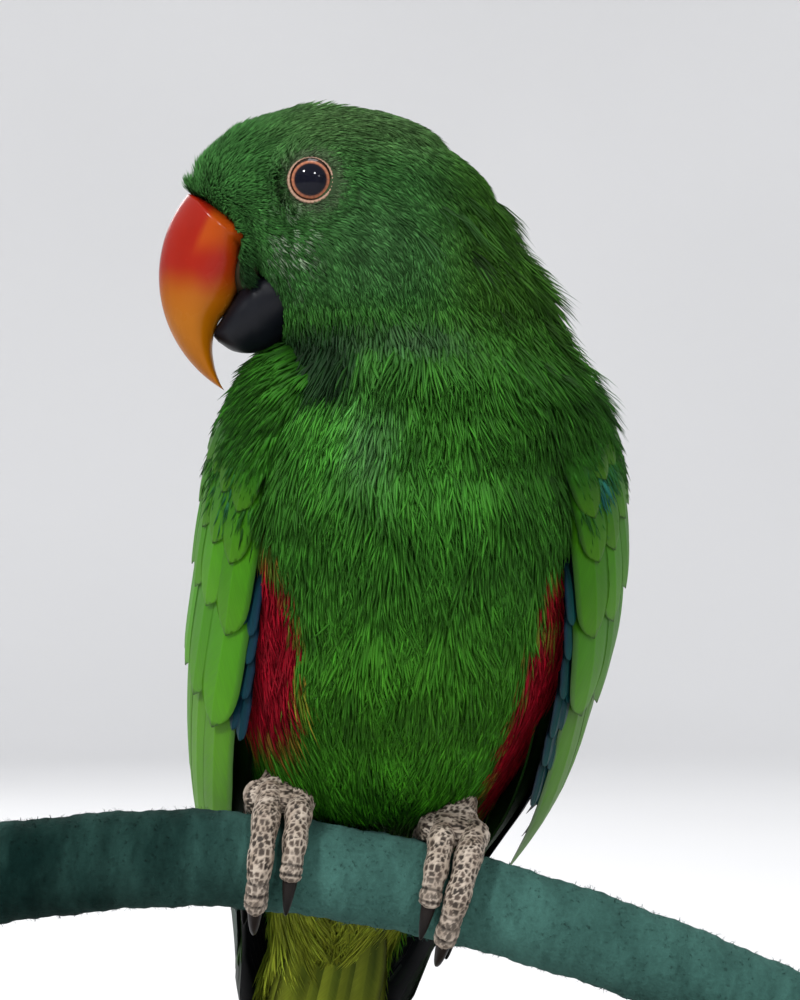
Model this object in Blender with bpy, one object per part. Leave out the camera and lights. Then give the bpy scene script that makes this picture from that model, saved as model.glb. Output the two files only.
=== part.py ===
"""A male eclectus parrot, life size, gripping a cloth-wrapped perch on a plain display stand.

The bird faces -Y with its head turned to its own right, so that the bill points to -X. +Z is up, and the
origin is the middle of the stand's underside. Sizes are in millimetres, and each mesh is made in metres.
"""

import math

import bmesh
import bpy
import numpy as np
from mathutils import Matrix, Vector

MM = 0.001
GAP = 0.3

# Main places of the bird, with heights above the floor
MID_HEIGHT = 246.0
BIRD_SHIFT_Y = -36.0
HEAD_PLANE_Y = -4.0

# The middle line from the shoulders down to the tail's tip leans back, and swings sideways as it goes down
AXIS_HEIGHT = 15.0
AXIS_LEAN = 27.0
AXIS_SWING = [
    (-22, 2.4),
    (5, 3.2),
    (17, 2.9),
    (29, 2.3),
    (41, 1.1),
    (54, -0.9),
    (66, -2.5),
    (78, -4.5),
    (90, -7.0),
    (118, -13.0),
    (148, -19.0),
    (200, -28.5),
    (266, -40.0),
]
TAIL_LENGTH = 122.0
TAIL_TIP = 262.0
TAIL_CUT = 112.0

# Body outline: height, middle x, middle y, half width, depth in front, depth behind
BODY_SECTIONS = [
    (-134, -23.0, 69.5, 7.0, 2.6, 2.4),
    (-126, -21.3, 66.0, 10.5, 4.8, 4.2),
    (-117, -19.4, 61.5, 12.8, 7.6, 6.6),
    (-107, -17.3, 56.3, 14.0, 11.5, 9.4),
    (-97, -14.6, 51.0, 15.2, 16.5, 12.6),
    (-86, -11.5, 44.5, 18.5, 24, 17.5),
    (-76, -8.5, 37, 22.5, 30, 22),
    (-68, -6.5, 30, 26, 35, 26.5),
    (-60, -4.5, 24, 29.5, 40, 30),
    (-50, -2.5, 18, 33.5, 43, 32),
    (-38, -0.5, 12, 37, 46, 34),
    (-25, 1.0, 7, 39.5, 45, 34),
    (-12, 2.0, 3, 40.5, 44, 34),
    (0, 3.0, 0, 40.5, 41.5, 33),
    (10, 4.0, -1, 39, 38, 30),
    (20, 5.8, -2, 37, 34, 27),
    (28, 6.2, -3, 33.0, 29, 25),
    (34, 4.8, -3, 30.2, 25, 23.5),
    (40, 2.3, -3, 29.5, 23.5, 23),
    (46, -0.4, -3.5, 29.8, 23, 22.8),
    (52, -4.0, -4, 29.5, 22.6, 22.6),
    (58, -7.5, -4, 29.5, 22.4, 22.4),
    (64, -11.2, -4, 31.2, 21.8, 21.8),
    (70, -13.6, -4, 29.6, 20.2, 20.2),
    (75.3, -14.7, -4, 24.3, 17.3, 17.3),
    (80, -14.8, -4, 18.0, 13.3, 13.3),
    (83.4, -14.5, -4, 8.5, 7.0, 7.0),
]
BODY_TOP = (84.6, -14.2, -4)
BODY_BOTTOM = (-136, -23.4, 70.4)
BODY_SIDES = 32
BODY_RINGS = 29
NECK_CUTS = (26.0, 41.0)

# Folded wing shell along the axis: distance, half width, depth behind, depth in front, shift towards the back
WING_SHELL = [
    (-22, 25.0, 15, 22, 0),
    (-15, 33.0, 21, 31, 0),
    (-7, 38.5, 26, 39, 0),
    (5, 43.0, 30, 47, 0),
    (17, 45.0, 32, 53, 0),
    (29, 45.8, 32.5, 56, 0),
    (41, 46.0, 32, 57, 0),
    (54, 45.4, 31, 57, 0),
    (66, 44.2, 30, 56, 0),
    (78, 42.0, 28, 54, 0),
    (90, 38.5, 25, 49, 0.2),
    (105, 32.5, 21.2, 41, 0.8),
    (130, 23, 15.2, 28, 3.0),
    (150, 17.0, 10.6, 20, 4.4),
    (190, 13, 6.2, 13, 4.8),
    (232, 9.5, 3.4, 8, 5.0),
]
WING_FLATTENS = (95.0, 135.0)
# Where each wing starts in the small variation of its feathers' lengths
WING_PHASES = {-1: 0.0, 1: 1.0}

# Feathers of a folded wing. Roots and tips are distances along the axis, turns go from the back to the breast
VANE_THICK = 0.6
PRIMARIES = {
    "count": 6, "stations": (80, 112, 140, 170, 200), "tip": 172, "reach": 54, "bend": 0.9, "width": 14.0,
    "turns": (84, 30), "spreads": (4.2, 1.1), "lift": -4.8, "step": 0.75,
}
SECONDARIES = {
    "count": 6, "root": 50, "tip": 122, "reach": 32, "bend": 0.8, "width": 20.0,
    "root_turns": (19, 116), "tip_turns": (24, 87), "lift": 0.2, "step": 0.45, "roll": -0.7,
}
COVERT_ROWS = [
    {
        "count": 6, "root": 28, "tip": 86, "stagger": -10, "width": 23.0,
        "root_turns": (20, 122), "tip_turns": (18, 117), "lift": (-2.2, 1.2), "roll": -0.9,
    },
    {
        "count": 6, "root": 8, "tip": 54, "stagger": -6, "width": 22.5,
        "root_turns": (21, 124), "tip_turns": (20, 122), "lift": (-2.2, 2.0), "roll": -0.9,
    },
    {
        "count": 6, "root": -12, "tip": 27, "stagger": 0, "width": 21.0,
        "root_turns": (25, 116), "tip_turns": (21, 123), "lift": (-2.4, 2.3), "roll": -0.8,
    },
    {
        "count": 2, "root": 26, "tip": 84, "stagger": 10, "width": 9.0,
        "root_turns": (121, 127), "tip_turns": (119, 128), "lift": (-3.2, 0.2), "roll": -0.4,
    },
]

# Tail: levels of the left and right feathers from the middle pair out. Coverts below and above are given as
# count, root, end, width, lifts and spread
TAIL_LEVELS = ((0.0, -1.5, -3.0, -3.75, -4.5, -5.25), (-0.75, -2.25, -3.0, -3.75, -4.5, -5.25))
TAIL_COVERTS = [
    (3, 128, 216, 15.0, (-8, -8.6), 8.6),
    (3, 122, 190, 14.0, (-9, -10.2), 7.6),
    (4, 138, 184, 11.5, (-2, 1.6), 5.3),
]

# Perch: a wrapped stick that arches, and falls away to one side
PERCH_CREST = (-45.0, -5.0, -75.6)
PERCH_FALL_RIGHT = 34.5
PERCH_FALL_LEFT = 3.4
PERCH_SPAN_RIGHT = 130.0
PERCH_SPAN_LEFT = 40.0
PERCH_BEND = 1.7
PERCH_ENDS = (-101.0, 101.0)
PERCH_RADIUS_LEFT = 10.9
PERCH_RADIUS_RIGHT = 9.3

# Feet: place along the perch, and the side on which the inner toes lie
FEET = {"right": (-27.0, 1.0), "left": (8.2, -1.0)}
TOE_RADIUS = 3.2
CLAW_RADIUS = 2.0

# Bill: culmen arc, cutting edge and half widths
CULMEN_ROOT = (-44.7, 64.9)
CULMEN_TIP = (-37.2, 23.2)
CULMEN_RISE = 9.8
# Share of the way down the bill, cutting edge x and height, half width
UPPER_BILL = [
    (0.0, -33.0, 53.0, 9.6),
    (0.15, -33.0, 49.0, 9.5),
    (0.30, -34.0, 44.8, 8.9),
    (0.45, -35.8, 41.0, 7.9),
    (0.58, -38.6, 37.2, 6.4),
    (0.70, -39.6, 33.6, 4.9),
    (0.85, -39.4, 29.0, 3.0),
    (0.95, -38.5, 25.4, 1.5),
]
# Share of the way from tip to root, mouth line x and height, keel x and height, half width
LOWER_BILL = [
    (0.0, -39.0, 36.4, -38.4, 33.4, 3.4),
    (0.3, -36.3, 40.6, -35.0, 31.4, 6.3),
    (0.6, -33.3, 45.2, -30.3, 31.2, 8.0),
    (0.85, -30.0, 48.7, -25.5, 32.8, 8.6),
    (1.0, -24.0, 49.5, -19.5, 37.5, 8.0),
]

# Eyes: place on the head, ball, lids
EYE_X = -18.4
EYE_HEIGHT = 65.9
EYE_SINK = 3.9
EYE_RADIUS = 5.3
LID_RADIUS = 4.75
LID_THICK = 0.85
NOSTRIL_PLACE = (-41.6, 6.2, 65.2)
NOSTRIL_RADIUS = 1.2

# Stand
BASE_WIDTH = 222.0
BASE_DEPTH = 176.0
BASE_THICK = 13.0
BASE_BEVEL = 3.0
ROD_RADIUS = 4.0
ROD_X = 92.0
ROD_SOCKET = 2.0

MATERIALS = {
    "green_plumage": ((0.06, 0.24, 0.04), 0.6, 0.0),
    "wing_green": ((0.10, 0.36, 0.03), 0.5, 0.0),
    "tail_dark": ((0.03, 0.05, 0.06), 0.5, 0.0),
    "bill_orange": ((0.86, 0.26, 0.05), 0.3, 0.0),
    "bill_black": ((0.012, 0.012, 0.018), 0.3, 0.0),
    "eye": ((0.015, 0.012, 0.02), 0.05, 0.0),
    "toe_scale": ((0.42, 0.36, 0.31), 0.6, 0.0),
    "claw": ((0.035, 0.03, 0.03), 0.35, 0.0),
    "perch_cloth": ((0.06, 0.20, 0.17), 0.95, 0.0),
    "stand_wood": ((0.14, 0.08, 0.045), 0.45, 0.0),
    "stand_metal": ((0.55, 0.56, 0.58), 0.35, 1.0),
}


class Curve:
    """A smooth curve through hand-set rows: the first column is the parameter, the rest the values."""

    def __init__(self, rows):
        table = np.array(rows, float)
        self.t = table[:, 0]
        self.v = table[:, 1:]
        self.m = np.gradient(self.v, self.t, axis=0)

    def __call__(self, t):
        t = min(max(t, self.t[0]), self.t[-1])
        i = min(max(int(np.searchsorted(self.t, t)) - 1, 0), len(self.t) - 2)
        h = self.t[i + 1] - self.t[i]
        s = (t - self.t[i]) / h
        a = 2 * s**3 - 3 * s**2 + 1
        b = s**3 - 2 * s**2 + s
        c = 3 * s**2 - 2 * s**3
        d = s**3 - s**2
        return a * self.v[i] + b * h * self.m[i] + c * self.v[i + 1] + d * h * self.m[i + 1]


BODY = Curve(BODY_SECTIONS)
SHELL = Curve(WING_SHELL)
UPPER = Curve(UPPER_BILL)
LOWER = Curve(LOWER_BILL)

SWING = Curve(AXIS_SWING)
LEAN = math.radians(AXIS_LEAN)
AXIS = np.array([0.0, math.sin(LEAN), -math.cos(LEAN)])
ACROSS = np.array([1.0, 0.0, 0.0])
OUTWARD = np.array([0.0, math.cos(LEAN), math.sin(LEAN)])


def clear_scene():
    for old in list(bpy.data.objects):
        bpy.data.objects.remove(old)


def material(name):
    found = bpy.data.materials.get(name)
    if found:
        return found
    colour, rough, metal = MATERIALS[name]
    made = bpy.data.materials.new(name)
    made.use_nodes = True
    shader = made.node_tree.nodes["Principled BSDF"]
    shader.inputs["Base Color"].default_value = (*colour, 1)
    shader.inputs["Roughness"].default_value = rough
    shader.inputs["Metallic"].default_value = metal
    made.diffuse_color = (*colour, 1)
    return made


def solid(name, points, faces, finish):
    """One closed mesh object from points in millimetres, measured from the bird's own middle height."""
    mesh = bpy.data.meshes.new(name)
    shift = np.array([0, BIRD_SHIFT_Y, MID_HEIGHT])
    mesh.from_pydata([tuple((np.asarray(p) + shift) * MM) for p in points], [], faces)
    mesh.materials.append(material(finish))
    made = bpy.data.objects.new(name, mesh)
    bpy.context.scene.collection.objects.link(made)
    edit = bmesh.new()
    edit.from_mesh(mesh)
    bmesh.ops.recalc_face_normals(edit, faces=edit.faces)
    edit.to_mesh(mesh)
    edit.free()
    return made


def shade(made, angle=40):
    made.data.shade_smooth()
    made.data.set_sharp_from_angle(angle=math.radians(angle))


def loft(name, rings, finish, start=None, end=None):
    """Closed skin over rings of equal count. start and end are points that close it, or None for flat caps."""
    count = len(rings[0])
    points = [p for ring in rings for p in ring]
    faces = []
    for r in range(len(rings) - 1):
        for i in range(count):
            j = (i + 1) % count
            faces.append((r * count + i, r * count + j, (r + 1) * count + j, (r + 1) * count + i))
    for tip, row in ((start, 0), (end, len(rings) - 1)):
        ring = [row * count + i for i in range(count)]
        if tip is None:
            faces.append(ring)
            continue
        points.append(tip)
        apex = len(points) - 1
        faces += [(ring[i], ring[(i + 1) % count], apex) for i in range(count)]
    return solid(name, points, faces, finish)


def turns(count):
    return [2 * math.pi * i / count for i in range(count)]


def evaluated_mesh(made):
    graph = bpy.context.evaluated_depsgraph_get()
    return bpy.data.meshes.new_from_object(made.evaluated_get(graph), depsgraph=graph)


def boolean(made, others, operation, solver="EXACT"):
    """Applies one Boolean of made with a list of closed objects, and removes them."""
    group = bpy.data.collections.new("pieces")
    bpy.context.scene.collection.children.link(group)
    for other in others:
        for home in list(other.users_collection):
            home.objects.unlink(other)
        group.objects.link(other)
    step = made.modifiers.new(operation.lower(), "BOOLEAN")
    step.operation = operation
    step.solver = solver
    step.operand_type = "COLLECTION"
    step.collection = group
    bpy.context.view_layer.update()
    mesh = evaluated_mesh(made)
    made.modifiers.clear()
    old = made.data
    made.data = mesh
    bpy.data.meshes.remove(old)
    for other in list(group.objects):
        bpy.data.objects.remove(other)
    bpy.data.collections.remove(group)
    return made


def is_closed(edit):
    return all(edge.is_manifold for edge in edit.edges) and all(v.is_manifold for v in edit.verts)


def keep_largest(made):
    """Drops every closed surface of the mesh but the one that spans the most room."""
    edit = bmesh.new()
    edit.from_mesh(made.data)
    bmesh.ops.triangulate(edit, faces=edit.faces)
    left, groups = set(edit.faces), []
    while left:
        seed = [left.pop()]
        group = set(seed)
        while seed:
            for edge in seed.pop().edges:
                for face in edge.link_faces:
                    if face in left:
                        left.remove(face)
                        group.add(face)
                        seed.append(face)
        groups.append(group)

    def room(group):
        corners = np.array([v.co for face in group for v in face.verts])
        return float(np.prod(corners.max(0) - corners.min(0)))

    groups.sort(key=room)
    dropped = [face for group in groups[:-1] for face in group]
    bmesh.ops.delete(edit, geom=dropped, context="FACES")
    edit.to_mesh(made.data)
    edit.free()
    return made


def simplify(made, angles=(2.0, 1.0, 0.5)):
    """Merges faces that are level with one another to within an angle, while the mesh stays closed."""
    for angle in angles:
        edit = bmesh.new()
        edit.from_mesh(made.data)
        bmesh.ops.dissolve_limit(edit, angle_limit=math.radians(angle), verts=edit.verts, edges=edit.edges)
        bmesh.ops.triangulate(edit, faces=edit.faces)
        closed = is_closed(edit)
        if closed:
            edit.to_mesh(made.data)
        edit.free()
        if closed:
            return


def inflated(made, gap=GAP, name="cutter"):
    """A copy whose points stand out along their normals by the gap that neighbours keep."""
    copy = made.copy()
    copy.data = made.data.copy()
    copy.name = name
    bpy.context.scene.collection.objects.link(copy)
    edit = bmesh.new()
    edit.from_mesh(copy.data)
    edit.normal_update()
    for v in edit.verts:
        v.co += v.normal * gap * MM * 1.06
    edit.to_mesh(copy.data)
    edit.free()
    copy.hide_render = True
    copy.display_type = "WIRE"
    return copy


def between(made, name, planes):
    """The part of a closed mesh that lies behind each plane, given as a point and a direction out."""
    part = made.copy()
    part.data = made.data.copy()
    part.name = name
    bpy.context.scene.collection.objects.link(part)
    edit = bmesh.new()
    edit.from_mesh(part.data)
    for point, outward in planes:
        place = (np.asarray(point) + np.array([0, BIRD_SHIFT_Y, MID_HEIGHT])) * MM
        cut = bmesh.ops.bisect_plane(
            edit,
            geom=list(edit.verts) + list(edit.edges) + list(edit.faces),
            plane_co=Vector(place),
            plane_no=Vector(outward),
            clear_outer=True,
        )
        rim = [g for g in cut["geom_cut"] if isinstance(g, bmesh.types.BMEdge)]
        bmesh.ops.contextual_create(edit, geom=rim)
    bmesh.ops.triangulate(edit, faces=edit.faces)
    bmesh.ops.recalc_face_normals(edit, faces=edit.faces)
    edit.to_mesh(part.data)
    edit.free()
    return part


# Body, neck and head


def body_ring(height, sides):
    """One level section of the bird, with separate depths in front of and behind its middle."""
    x, y, half, front, back = BODY(height)
    ring = []
    for turn in turns(sides):
        depth = front if math.sin(turn) < 0 else back
        ring.append((x + half * math.cos(turn), y + depth * math.sin(turn), height))
    return ring


def body_heights(rings):
    """Levels that crowd together towards the crown and the vent."""
    low, high = BODY_SECTIONS[0][0], BODY_SECTIONS[-1][0]
    middle, reach = (low + high) / 2, (high - low) / 2
    shares = [i / (rings - 1) for i in range(rings)]
    return [middle - reach * math.cos(math.pi * s) * 0.55 + reach * (2 * s - 1) * 0.45 for s in shares]


def whole_body(sides=BODY_SIDES, rings=BODY_RINGS):
    rings = [body_ring(height, sides) for height in body_heights(rings)]
    bottom, top = [(x, y, height) for height, x, y in (BODY_BOTTOM, BODY_TOP)]
    return loft("whole_body", rings, "green_plumage", bottom, top)


def head_surface_y(x, height, side):
    """Depth at which the head's side stands at this x and height; side is -1 near the camera and 1 beyond."""
    mid_x, mid_y, half, front, back = BODY(height)
    return mid_y + side * (front if side < 0 else back) * math.sqrt(1 - ((x - mid_x) / half) ** 2)


def ball(name, centre, radius, finish, columns=16, rows=9):
    """A sphere whose poles lie along Y."""
    rings = []
    for r in range(1, rows):
        lift = math.pi * r / rows
        wide, y = radius * math.sin(lift), centre[1] - radius * math.cos(lift)
        ring = [(centre[0] + wide * math.cos(a), y, centre[2] + wide * math.sin(a)) for a in turns(columns)]
        rings.append(ring)
    start = (centre[0], centre[1] - radius, centre[2])
    end = (centre[0], centre[1] + radius, centre[2])
    return loft(name, rings, finish, start, end)


def lid_ring(side):
    """A rounded rim that stands on the head around the eye."""
    centre = eye_centre(side)
    out = side * (EYE_SINK - 0.9)
    tilt = math.radians(10)
    points, faces = [], []
    around, tube = 16, 5
    for a in turns(around):
        for b in turns(tube):
            reach = LID_RADIUS + LID_THICK * math.cos(b)
            rise = reach * math.sin(a)
            lift = out + side * LID_THICK * 1.1 * math.sin(b) - side * math.tan(tilt) * rise
            points.append((centre[0] + reach * math.cos(a), centre[1] + lift, centre[2] + rise))
    for i in range(around):
        for j in range(tube):
            k, m = (i + 1) % around, (j + 1) % tube
            faces.append((i * tube + j, k * tube + j, k * tube + m, i * tube + m))
    return solid("lid", points, faces, "green_plumage")


def eye_centre(side):
    surface = head_surface_y(EYE_X, EYE_HEIGHT, side)
    return (EYE_X, surface - side * EYE_SINK, EYE_HEIGHT)


def finish_head(head):
    """Lids stand on the head; eye sockets and nostrils are sunk into it."""
    boolean(head, [lid_ring(-1), lid_ring(1)], "UNION")
    keep_largest(head)
    sockets = [ball("socket", eye_centre(side), EYE_RADIUS + GAP, "eye", 14, 8) for side in (-1, 1)]
    x, reach, height = NOSTRIL_PLACE
    pits = [
        ball("nostril", (x, HEAD_PLANE_Y + side * reach, height), NOSTRIL_RADIUS, "bill_black", 10, 6)
        for side in (-1, 1)
    ]
    boolean(head, sockets + pits, "DIFFERENCE")
    keep_largest(head)
    shade(head)


# Bill


def culmen_point(share):
    """A point on the circular arc of the bill's ridge, from the forehead to the tip."""
    root, tip = np.array(CULMEN_ROOT), np.array(CULMEN_TIP)
    chord = tip - root
    length = np.linalg.norm(chord)
    normal = np.array([chord[1], -chord[0]]) / length
    radius = (length**2 / 4 + CULMEN_RISE**2) / (2 * CULMEN_RISE)
    centre = (root + tip) / 2 - normal * (radius - CULMEN_RISE)
    half_angle = math.asin(length / 2 / radius)
    turn = half_angle * (2 * share - 1)
    return centre + radius * (normal * math.cos(turn) + chord / length * math.sin(turn))


def flat_ring(outer, inner, half_width, narrow, count=16):
    """An egg-shaped ring between two profile points, narrower at the outer one by the share given."""
    middle, reach = (outer + inner) / 2, (outer - inner) / 2
    ring = []
    for turn in turns(count):
        place = middle + reach * math.cos(turn)
        width = half_width * math.sin(turn) * (1 - narrow * math.cos(turn))
        ring.append((place[0], HEAD_PLANE_Y + width, place[1]))
    return ring


def upper_bill():
    rings = []
    for share in (-0.16, 0, 0.1, 0.2, 0.31, 0.42, 0.51, 0.59, 0.68, 0.77, 0.87, 0.95):
        edge_x, edge_z, half_width = UPPER(max(share, 0))
        outer, inner = culmen_point(max(share, 0)), np.array([edge_x, edge_z])
        if share < 0:
            outer, inner = outer + (9.0, -2.0), inner + (9.0, 1.0)
        rings.append(flat_ring(outer, inner, half_width, 0.22))
    tip = culmen_point(1.0)
    return loft("bill_upper", rings, "bill_orange", None, (tip[0], HEAD_PLANE_Y, tip[1]))


def lower_bill():
    rings = []
    for share in (0, 0.12, 0.25, 0.4, 0.55, 0.7, 0.85, 1.0):
        top_x, top_z, keel_x, keel_z, half_width = LOWER(share)
        rings.append(flat_ring(np.array([keel_x, keel_z]), np.array([top_x, top_z]), half_width, 0.2, 16))
    return loft("bill_lower", rings, "bill_black", (-39.4, HEAD_PLANE_Y, 34.6), None)


# Feathered sheets: the folded wings and the tail


def axis_point(along):
    return ACROSS * SWING(along)[0] + AXIS * along + np.array([0.0, 0.0, AXIS_HEIGHT])


class WingSheet:
    """The outer surface of a folded wing.

    across is the angle from the back's middle line round to the breast. lift is measured square to the surface
    by the body, and towards the back by the wing's tip.
    """

    def __init__(self, side):
        self.side = side
        self.phase = WING_PHASES[side]

    def point(self, along, across, lift):
        half, back, front, shift = SHELL(along)
        flat = min(max((along - WING_FLATTENS[0]) / (WING_FLATTENS[1] - WING_FLATTENS[0]), 0), 1)
        round_lift = lift * (1 - flat)
        depth = (back if math.cos(across) > 0 else front) + round_lift
        return (
            axis_point(along)
            + ACROSS * self.side * (half + round_lift) * math.sin(across)
            + OUTWARD * (depth * math.cos(across) + shift + lift * flat)
        )

    def per_mm(self, along, across):
        half, back, front, _ = SHELL(along)
        depth = back if math.cos(across) > 0 else front
        return 1.0 / math.hypot(half * math.cos(across), depth * math.sin(across))


class TailSheet:
    """A shallow roof under the wing tips. across is the distance from the tail's middle line."""

    drop = -3.0
    roof = 0.01

    def point(self, along, across, lift):
        rise = self.drop - self.roof * across**2 + lift
        return axis_point(along) + ACROSS * across + OUTWARD * rise

    def per_mm(self, along, across):
        return 1.0


# Feather outlines: share of the length from root to tip, share of the width
COVERT = ((0.0, 0.62), (0.5, 1.0), (0.88, 0.74), (1.0, 0.28))
FLIGHT = ((0.0, 0.7), (0.4, 1.0), (0.75, 0.9), (0.94, 0.5), (1.0, 0.16))
TAIL_VANE = ((0.0, 0.6), (0.5, 0.95), (0.9, 1.0), (1.0, 0.55))


def plate(rows):
    """A closed thin plate from rows of four corners, split into triangles alike on both faces."""
    points = [p for row in rows for p in row]
    last = 4 * (len(rows) - 1)
    faces = [(0, 1, 2), (0, 2, 3), (last, last + 1, last + 2), (last, last + 2, last + 3)]
    for a in range(0, last, 4):
        b = a + 4
        faces += [(a, b, b + 1), (a, b + 1, a + 1)]
        faces += [(a + 3, b + 3, b + 2), (a + 3, b + 2, a + 2)]
        faces += [(a + 1, b + 1, b + 2), (a + 1, b + 2, a + 2)]
        faces += [(a, b, b + 3), (a, b + 3, a + 3)]
    return solid("vane", points, faces, "wing_green")


def vane(sheet, outline, root, tip, width, lift, roll=0.0, thick=VANE_THICK):
    """One feather that follows its sheet: root and tip are (along, across), width the broadest.

    It leaves its root steeply and then lies flat. roll raises the edge on the lower side of across.
    """
    rows = []
    for t, share in outline:
        along = root[0] + (tip[0] - root[0]) * t
        across = root[1] + (tip[1] - root[1]) * t
        raised = lift[0] + (lift[1] - lift[0]) * t**0.6
        reach = width / 2 * share * sheet.per_mm(along, across)
        turned = roll * share * min(1, 2 * t)
        near = sheet.point(along, across - reach, raised + turned)
        far = sheet.point(along, across + reach, raised - turned)
        normal = np.cross(far - near, AXIS)
        normal = normal / np.linalg.norm(normal) * thick / 2 * (1 if t < 1 else 0.7)
        rows.append([near + normal, far + normal, far - normal, near - normal])
    return plate(rows)


def wing_core(name, sheet, thick):
    """The wing's own flesh under its coverts: a curved plate that thins out towards every edge."""
    first, last, columns, rows = -20.0, 108.0, 8, 7
    outer, inner = [], []
    for r in range(rows + 1):
        down = r / rows
        along = first + (last - first) * down
        low = math.radians(13 + 3 * down)
        high = math.radians(136 - 10 * down)
        for c in range(columns + 1):
            share = c / columns
            across = low + (high - low) * share
            edge = min(1.0, 4 * share, 4 * (1 - share), 5 * (1 - down), 6 * down)
            outer.append(sheet.point(along, across, -1.8 * (1 - edge) - 0.8 * min(1.0, 3 * down)))
            inner.append(sheet.point(along, across, -2.8 - thick * edge))
    count = (rows + 1) * (columns + 1)
    faces = []
    for r in range(rows):
        for c in range(columns):
            a = r * (columns + 1) + c
            b, d, e = a + 1, a + columns + 1, a + columns + 2
            faces += [(a, b, e), (a, e, d)]
            faces += [(a + count, b + count, e + count), (a + count, e + count, d + count)]
    rim = [c for c in range(columns + 1)]
    rim += [r * (columns + 1) + columns for r in range(1, rows + 1)]
    rim += [rows * (columns + 1) + c for c in range(columns - 1, -1, -1)]
    rim += [r * (columns + 1) for r in range(rows - 1, 0, -1)]
    for i, a in enumerate(rim):
        b = rim[(i + 1) % len(rim)]
        faces += [(a, b, b + count), (a, b + count, a + count)]
    return solid(name, outer + inner, faces, "wing_green")


def covert_tier(sheet, row):
    """A row of like feathers side by side, each rolled so that its edge lies over the next."""
    made = []
    for i in range(row["count"]):
        share = i / (row["count"] - 1)
        ends = []
        for first, last in (row["root_turns"], row["tip_turns"]):
            ends.append(math.radians(first + (last - first) * share))
        tip = row["tip"] + row["stagger"] * share + 1.3 * math.sin(2.4 * i + sheet.phase)
        root = row["root"] + 1.2 * math.cos(1.9 * i + sheet.phase)
        start, end = (root, ends[0]), (tip, ends[1])
        made.append(vane(sheet, COVERT, start, end, row["width"], row["lift"], row["roll"]))
    return made


def secondaries(sheet):
    """Inner flight feathers that lie round the body, the one nearest the back on top."""
    made, row = [], SECONDARIES
    for i in range(row["count"]):
        share = i / (row["count"] - 1)
        ends = []
        for first, last in (row["root_turns"], row["tip_turns"]):
            ends.append(math.radians(first + (last - first) * share))
        tip = row["tip"] + row["reach"] * share ** row["bend"] + 0.8 * math.sin(2.1 * i + sheet.phase)
        top = row["lift"] - row["step"] * i
        root = (row["root"] + 0.9 * i, ends[0])
        made.append(vane(sheet, FLIGHT, root, (tip, ends[1]), row["width"], (top - 2.6, top), row["roll"]))
    return made


def primaries(sheet):
    """Outer flight feathers in a level stack like a hand of cards, each longer and lower than the last."""
    made, row = [], PRIMARIES
    for i in range(row["count"]):
        share = i / (row["count"] - 1)
        tip = row["tip"] + row["reach"] * share ** row["bend"] + 0.8 * math.sin(2.1 * i + sheet.phase)
        rows = []
        stations = [s for s in row["stations"] if s < tip - 20] + [tip - 9, tip]
        for along in [stations[0] + 0.7 * i] + stations[1:]:
            down = (along - row["stations"][0]) / (row["tip"] + row["reach"] - row["stations"][0])
            turn = math.radians(row["turns"][0] + (row["turns"][1] - row["turns"][0]) * down)
            spread = row["spreads"][0] + (row["spreads"][1] - row["spreads"][0]) * down
            base = sheet.point(along, turn, row["lift"])
            side = sheet.point(along, turn + 0.35, row["lift"]) - base
            side = side / np.linalg.norm(side)
            normal = np.cross(side, AXIS) * sheet.side
            middle = base + side * spread * i - normal * row["step"] * i
            left = tip - along
            reach = side * row["width"] / 2 * (0.16 if left < 1 else 0.6 if left < 10 else 1.0)
            near, far, half = middle - reach, middle + reach, normal * VANE_THICK / 2
            rows.append([near + half, far + half, far - half, near - half])
        made.append(plate(rows))
    return made


def wing(name, side, body_cutter):
    """A folded wing: flesh plate, flight feathers, then coverts in tiers, each over the one below it."""
    sheet = WingSheet(side)
    core = wing_core(name, sheet, 9.0)
    pieces = primaries(sheet) + secondaries(sheet)
    for row in COVERT_ROWS:
        pieces += covert_tier(sheet, row)
    boolean(core, pieces, "UNION")
    keep_largest(core)
    boolean(core, [body_cutter], "DIFFERENCE", "MANIFOLD")
    keep_largest(core)
    simplify(core)
    shade(core, 30)
    return core


def finish_tail(core):
    """Twelve tail feathers in a shallow fan, with their coverts above and below, on the fleshy root."""
    sheet = TailSheet()
    pieces = []
    for k in range(1, 7):
        for side, levels in zip((-1, 1), TAIL_LEVELS):
            place = (k - 0.5) * side
            level = levels[k - 1]
            root = (TAIL_TIP - TAIL_LENGTH + 0.7 * k + 0.3 * side, place * 1.5)
            tip = (TAIL_TIP - 0.2 * place**2, place * 3.1)
            pieces.append(vane(sheet, TAIL_VANE, root, tip, 14.5, (level * 0.5 - 1, level)))
    for count, root, end, width, lift, spread in TAIL_COVERTS:
        for i in range(count):
            place = (i - (count - 1) / 2) * spread
            roll = 0.65 * math.copysign(1, lift[1])
            start = (root + 0.8 * i, place * 0.8)
            pieces.append(vane(sheet, COVERT, start, (end - abs(place), place), width, lift, roll))
    boolean(core, pieces, "UNION")
    keep_largest(core)
    simplify(core)
    shade(core, 30)


# Perch, feet and claws


def perch_height(x):
    crest_x, _, crest_z = PERCH_CREST
    if x > crest_x:
        return crest_z - PERCH_FALL_RIGHT * ((x - crest_x) / PERCH_SPAN_RIGHT) ** PERCH_BEND
    return crest_z - PERCH_FALL_LEFT * ((crest_x - x) / PERCH_SPAN_LEFT) ** PERCH_BEND


def perch_frame(x):
    """Middle point, upward normal, direction along and radius of the perch at x."""
    along = np.array([2.0, 0, perch_height(x + 1) - perch_height(x - 1)])
    along = along / np.linalg.norm(along)
    up = np.array([-along[2], 0, along[0]])
    share = (x - PERCH_ENDS[0]) / (PERCH_ENDS[1] - PERCH_ENDS[0])
    radius = PERCH_RADIUS_LEFT + (PERCH_RADIUS_RIGHT - PERCH_RADIUS_LEFT) * share
    return np.array([x, PERCH_CREST[1], perch_height(x)]), up, along, radius


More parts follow.
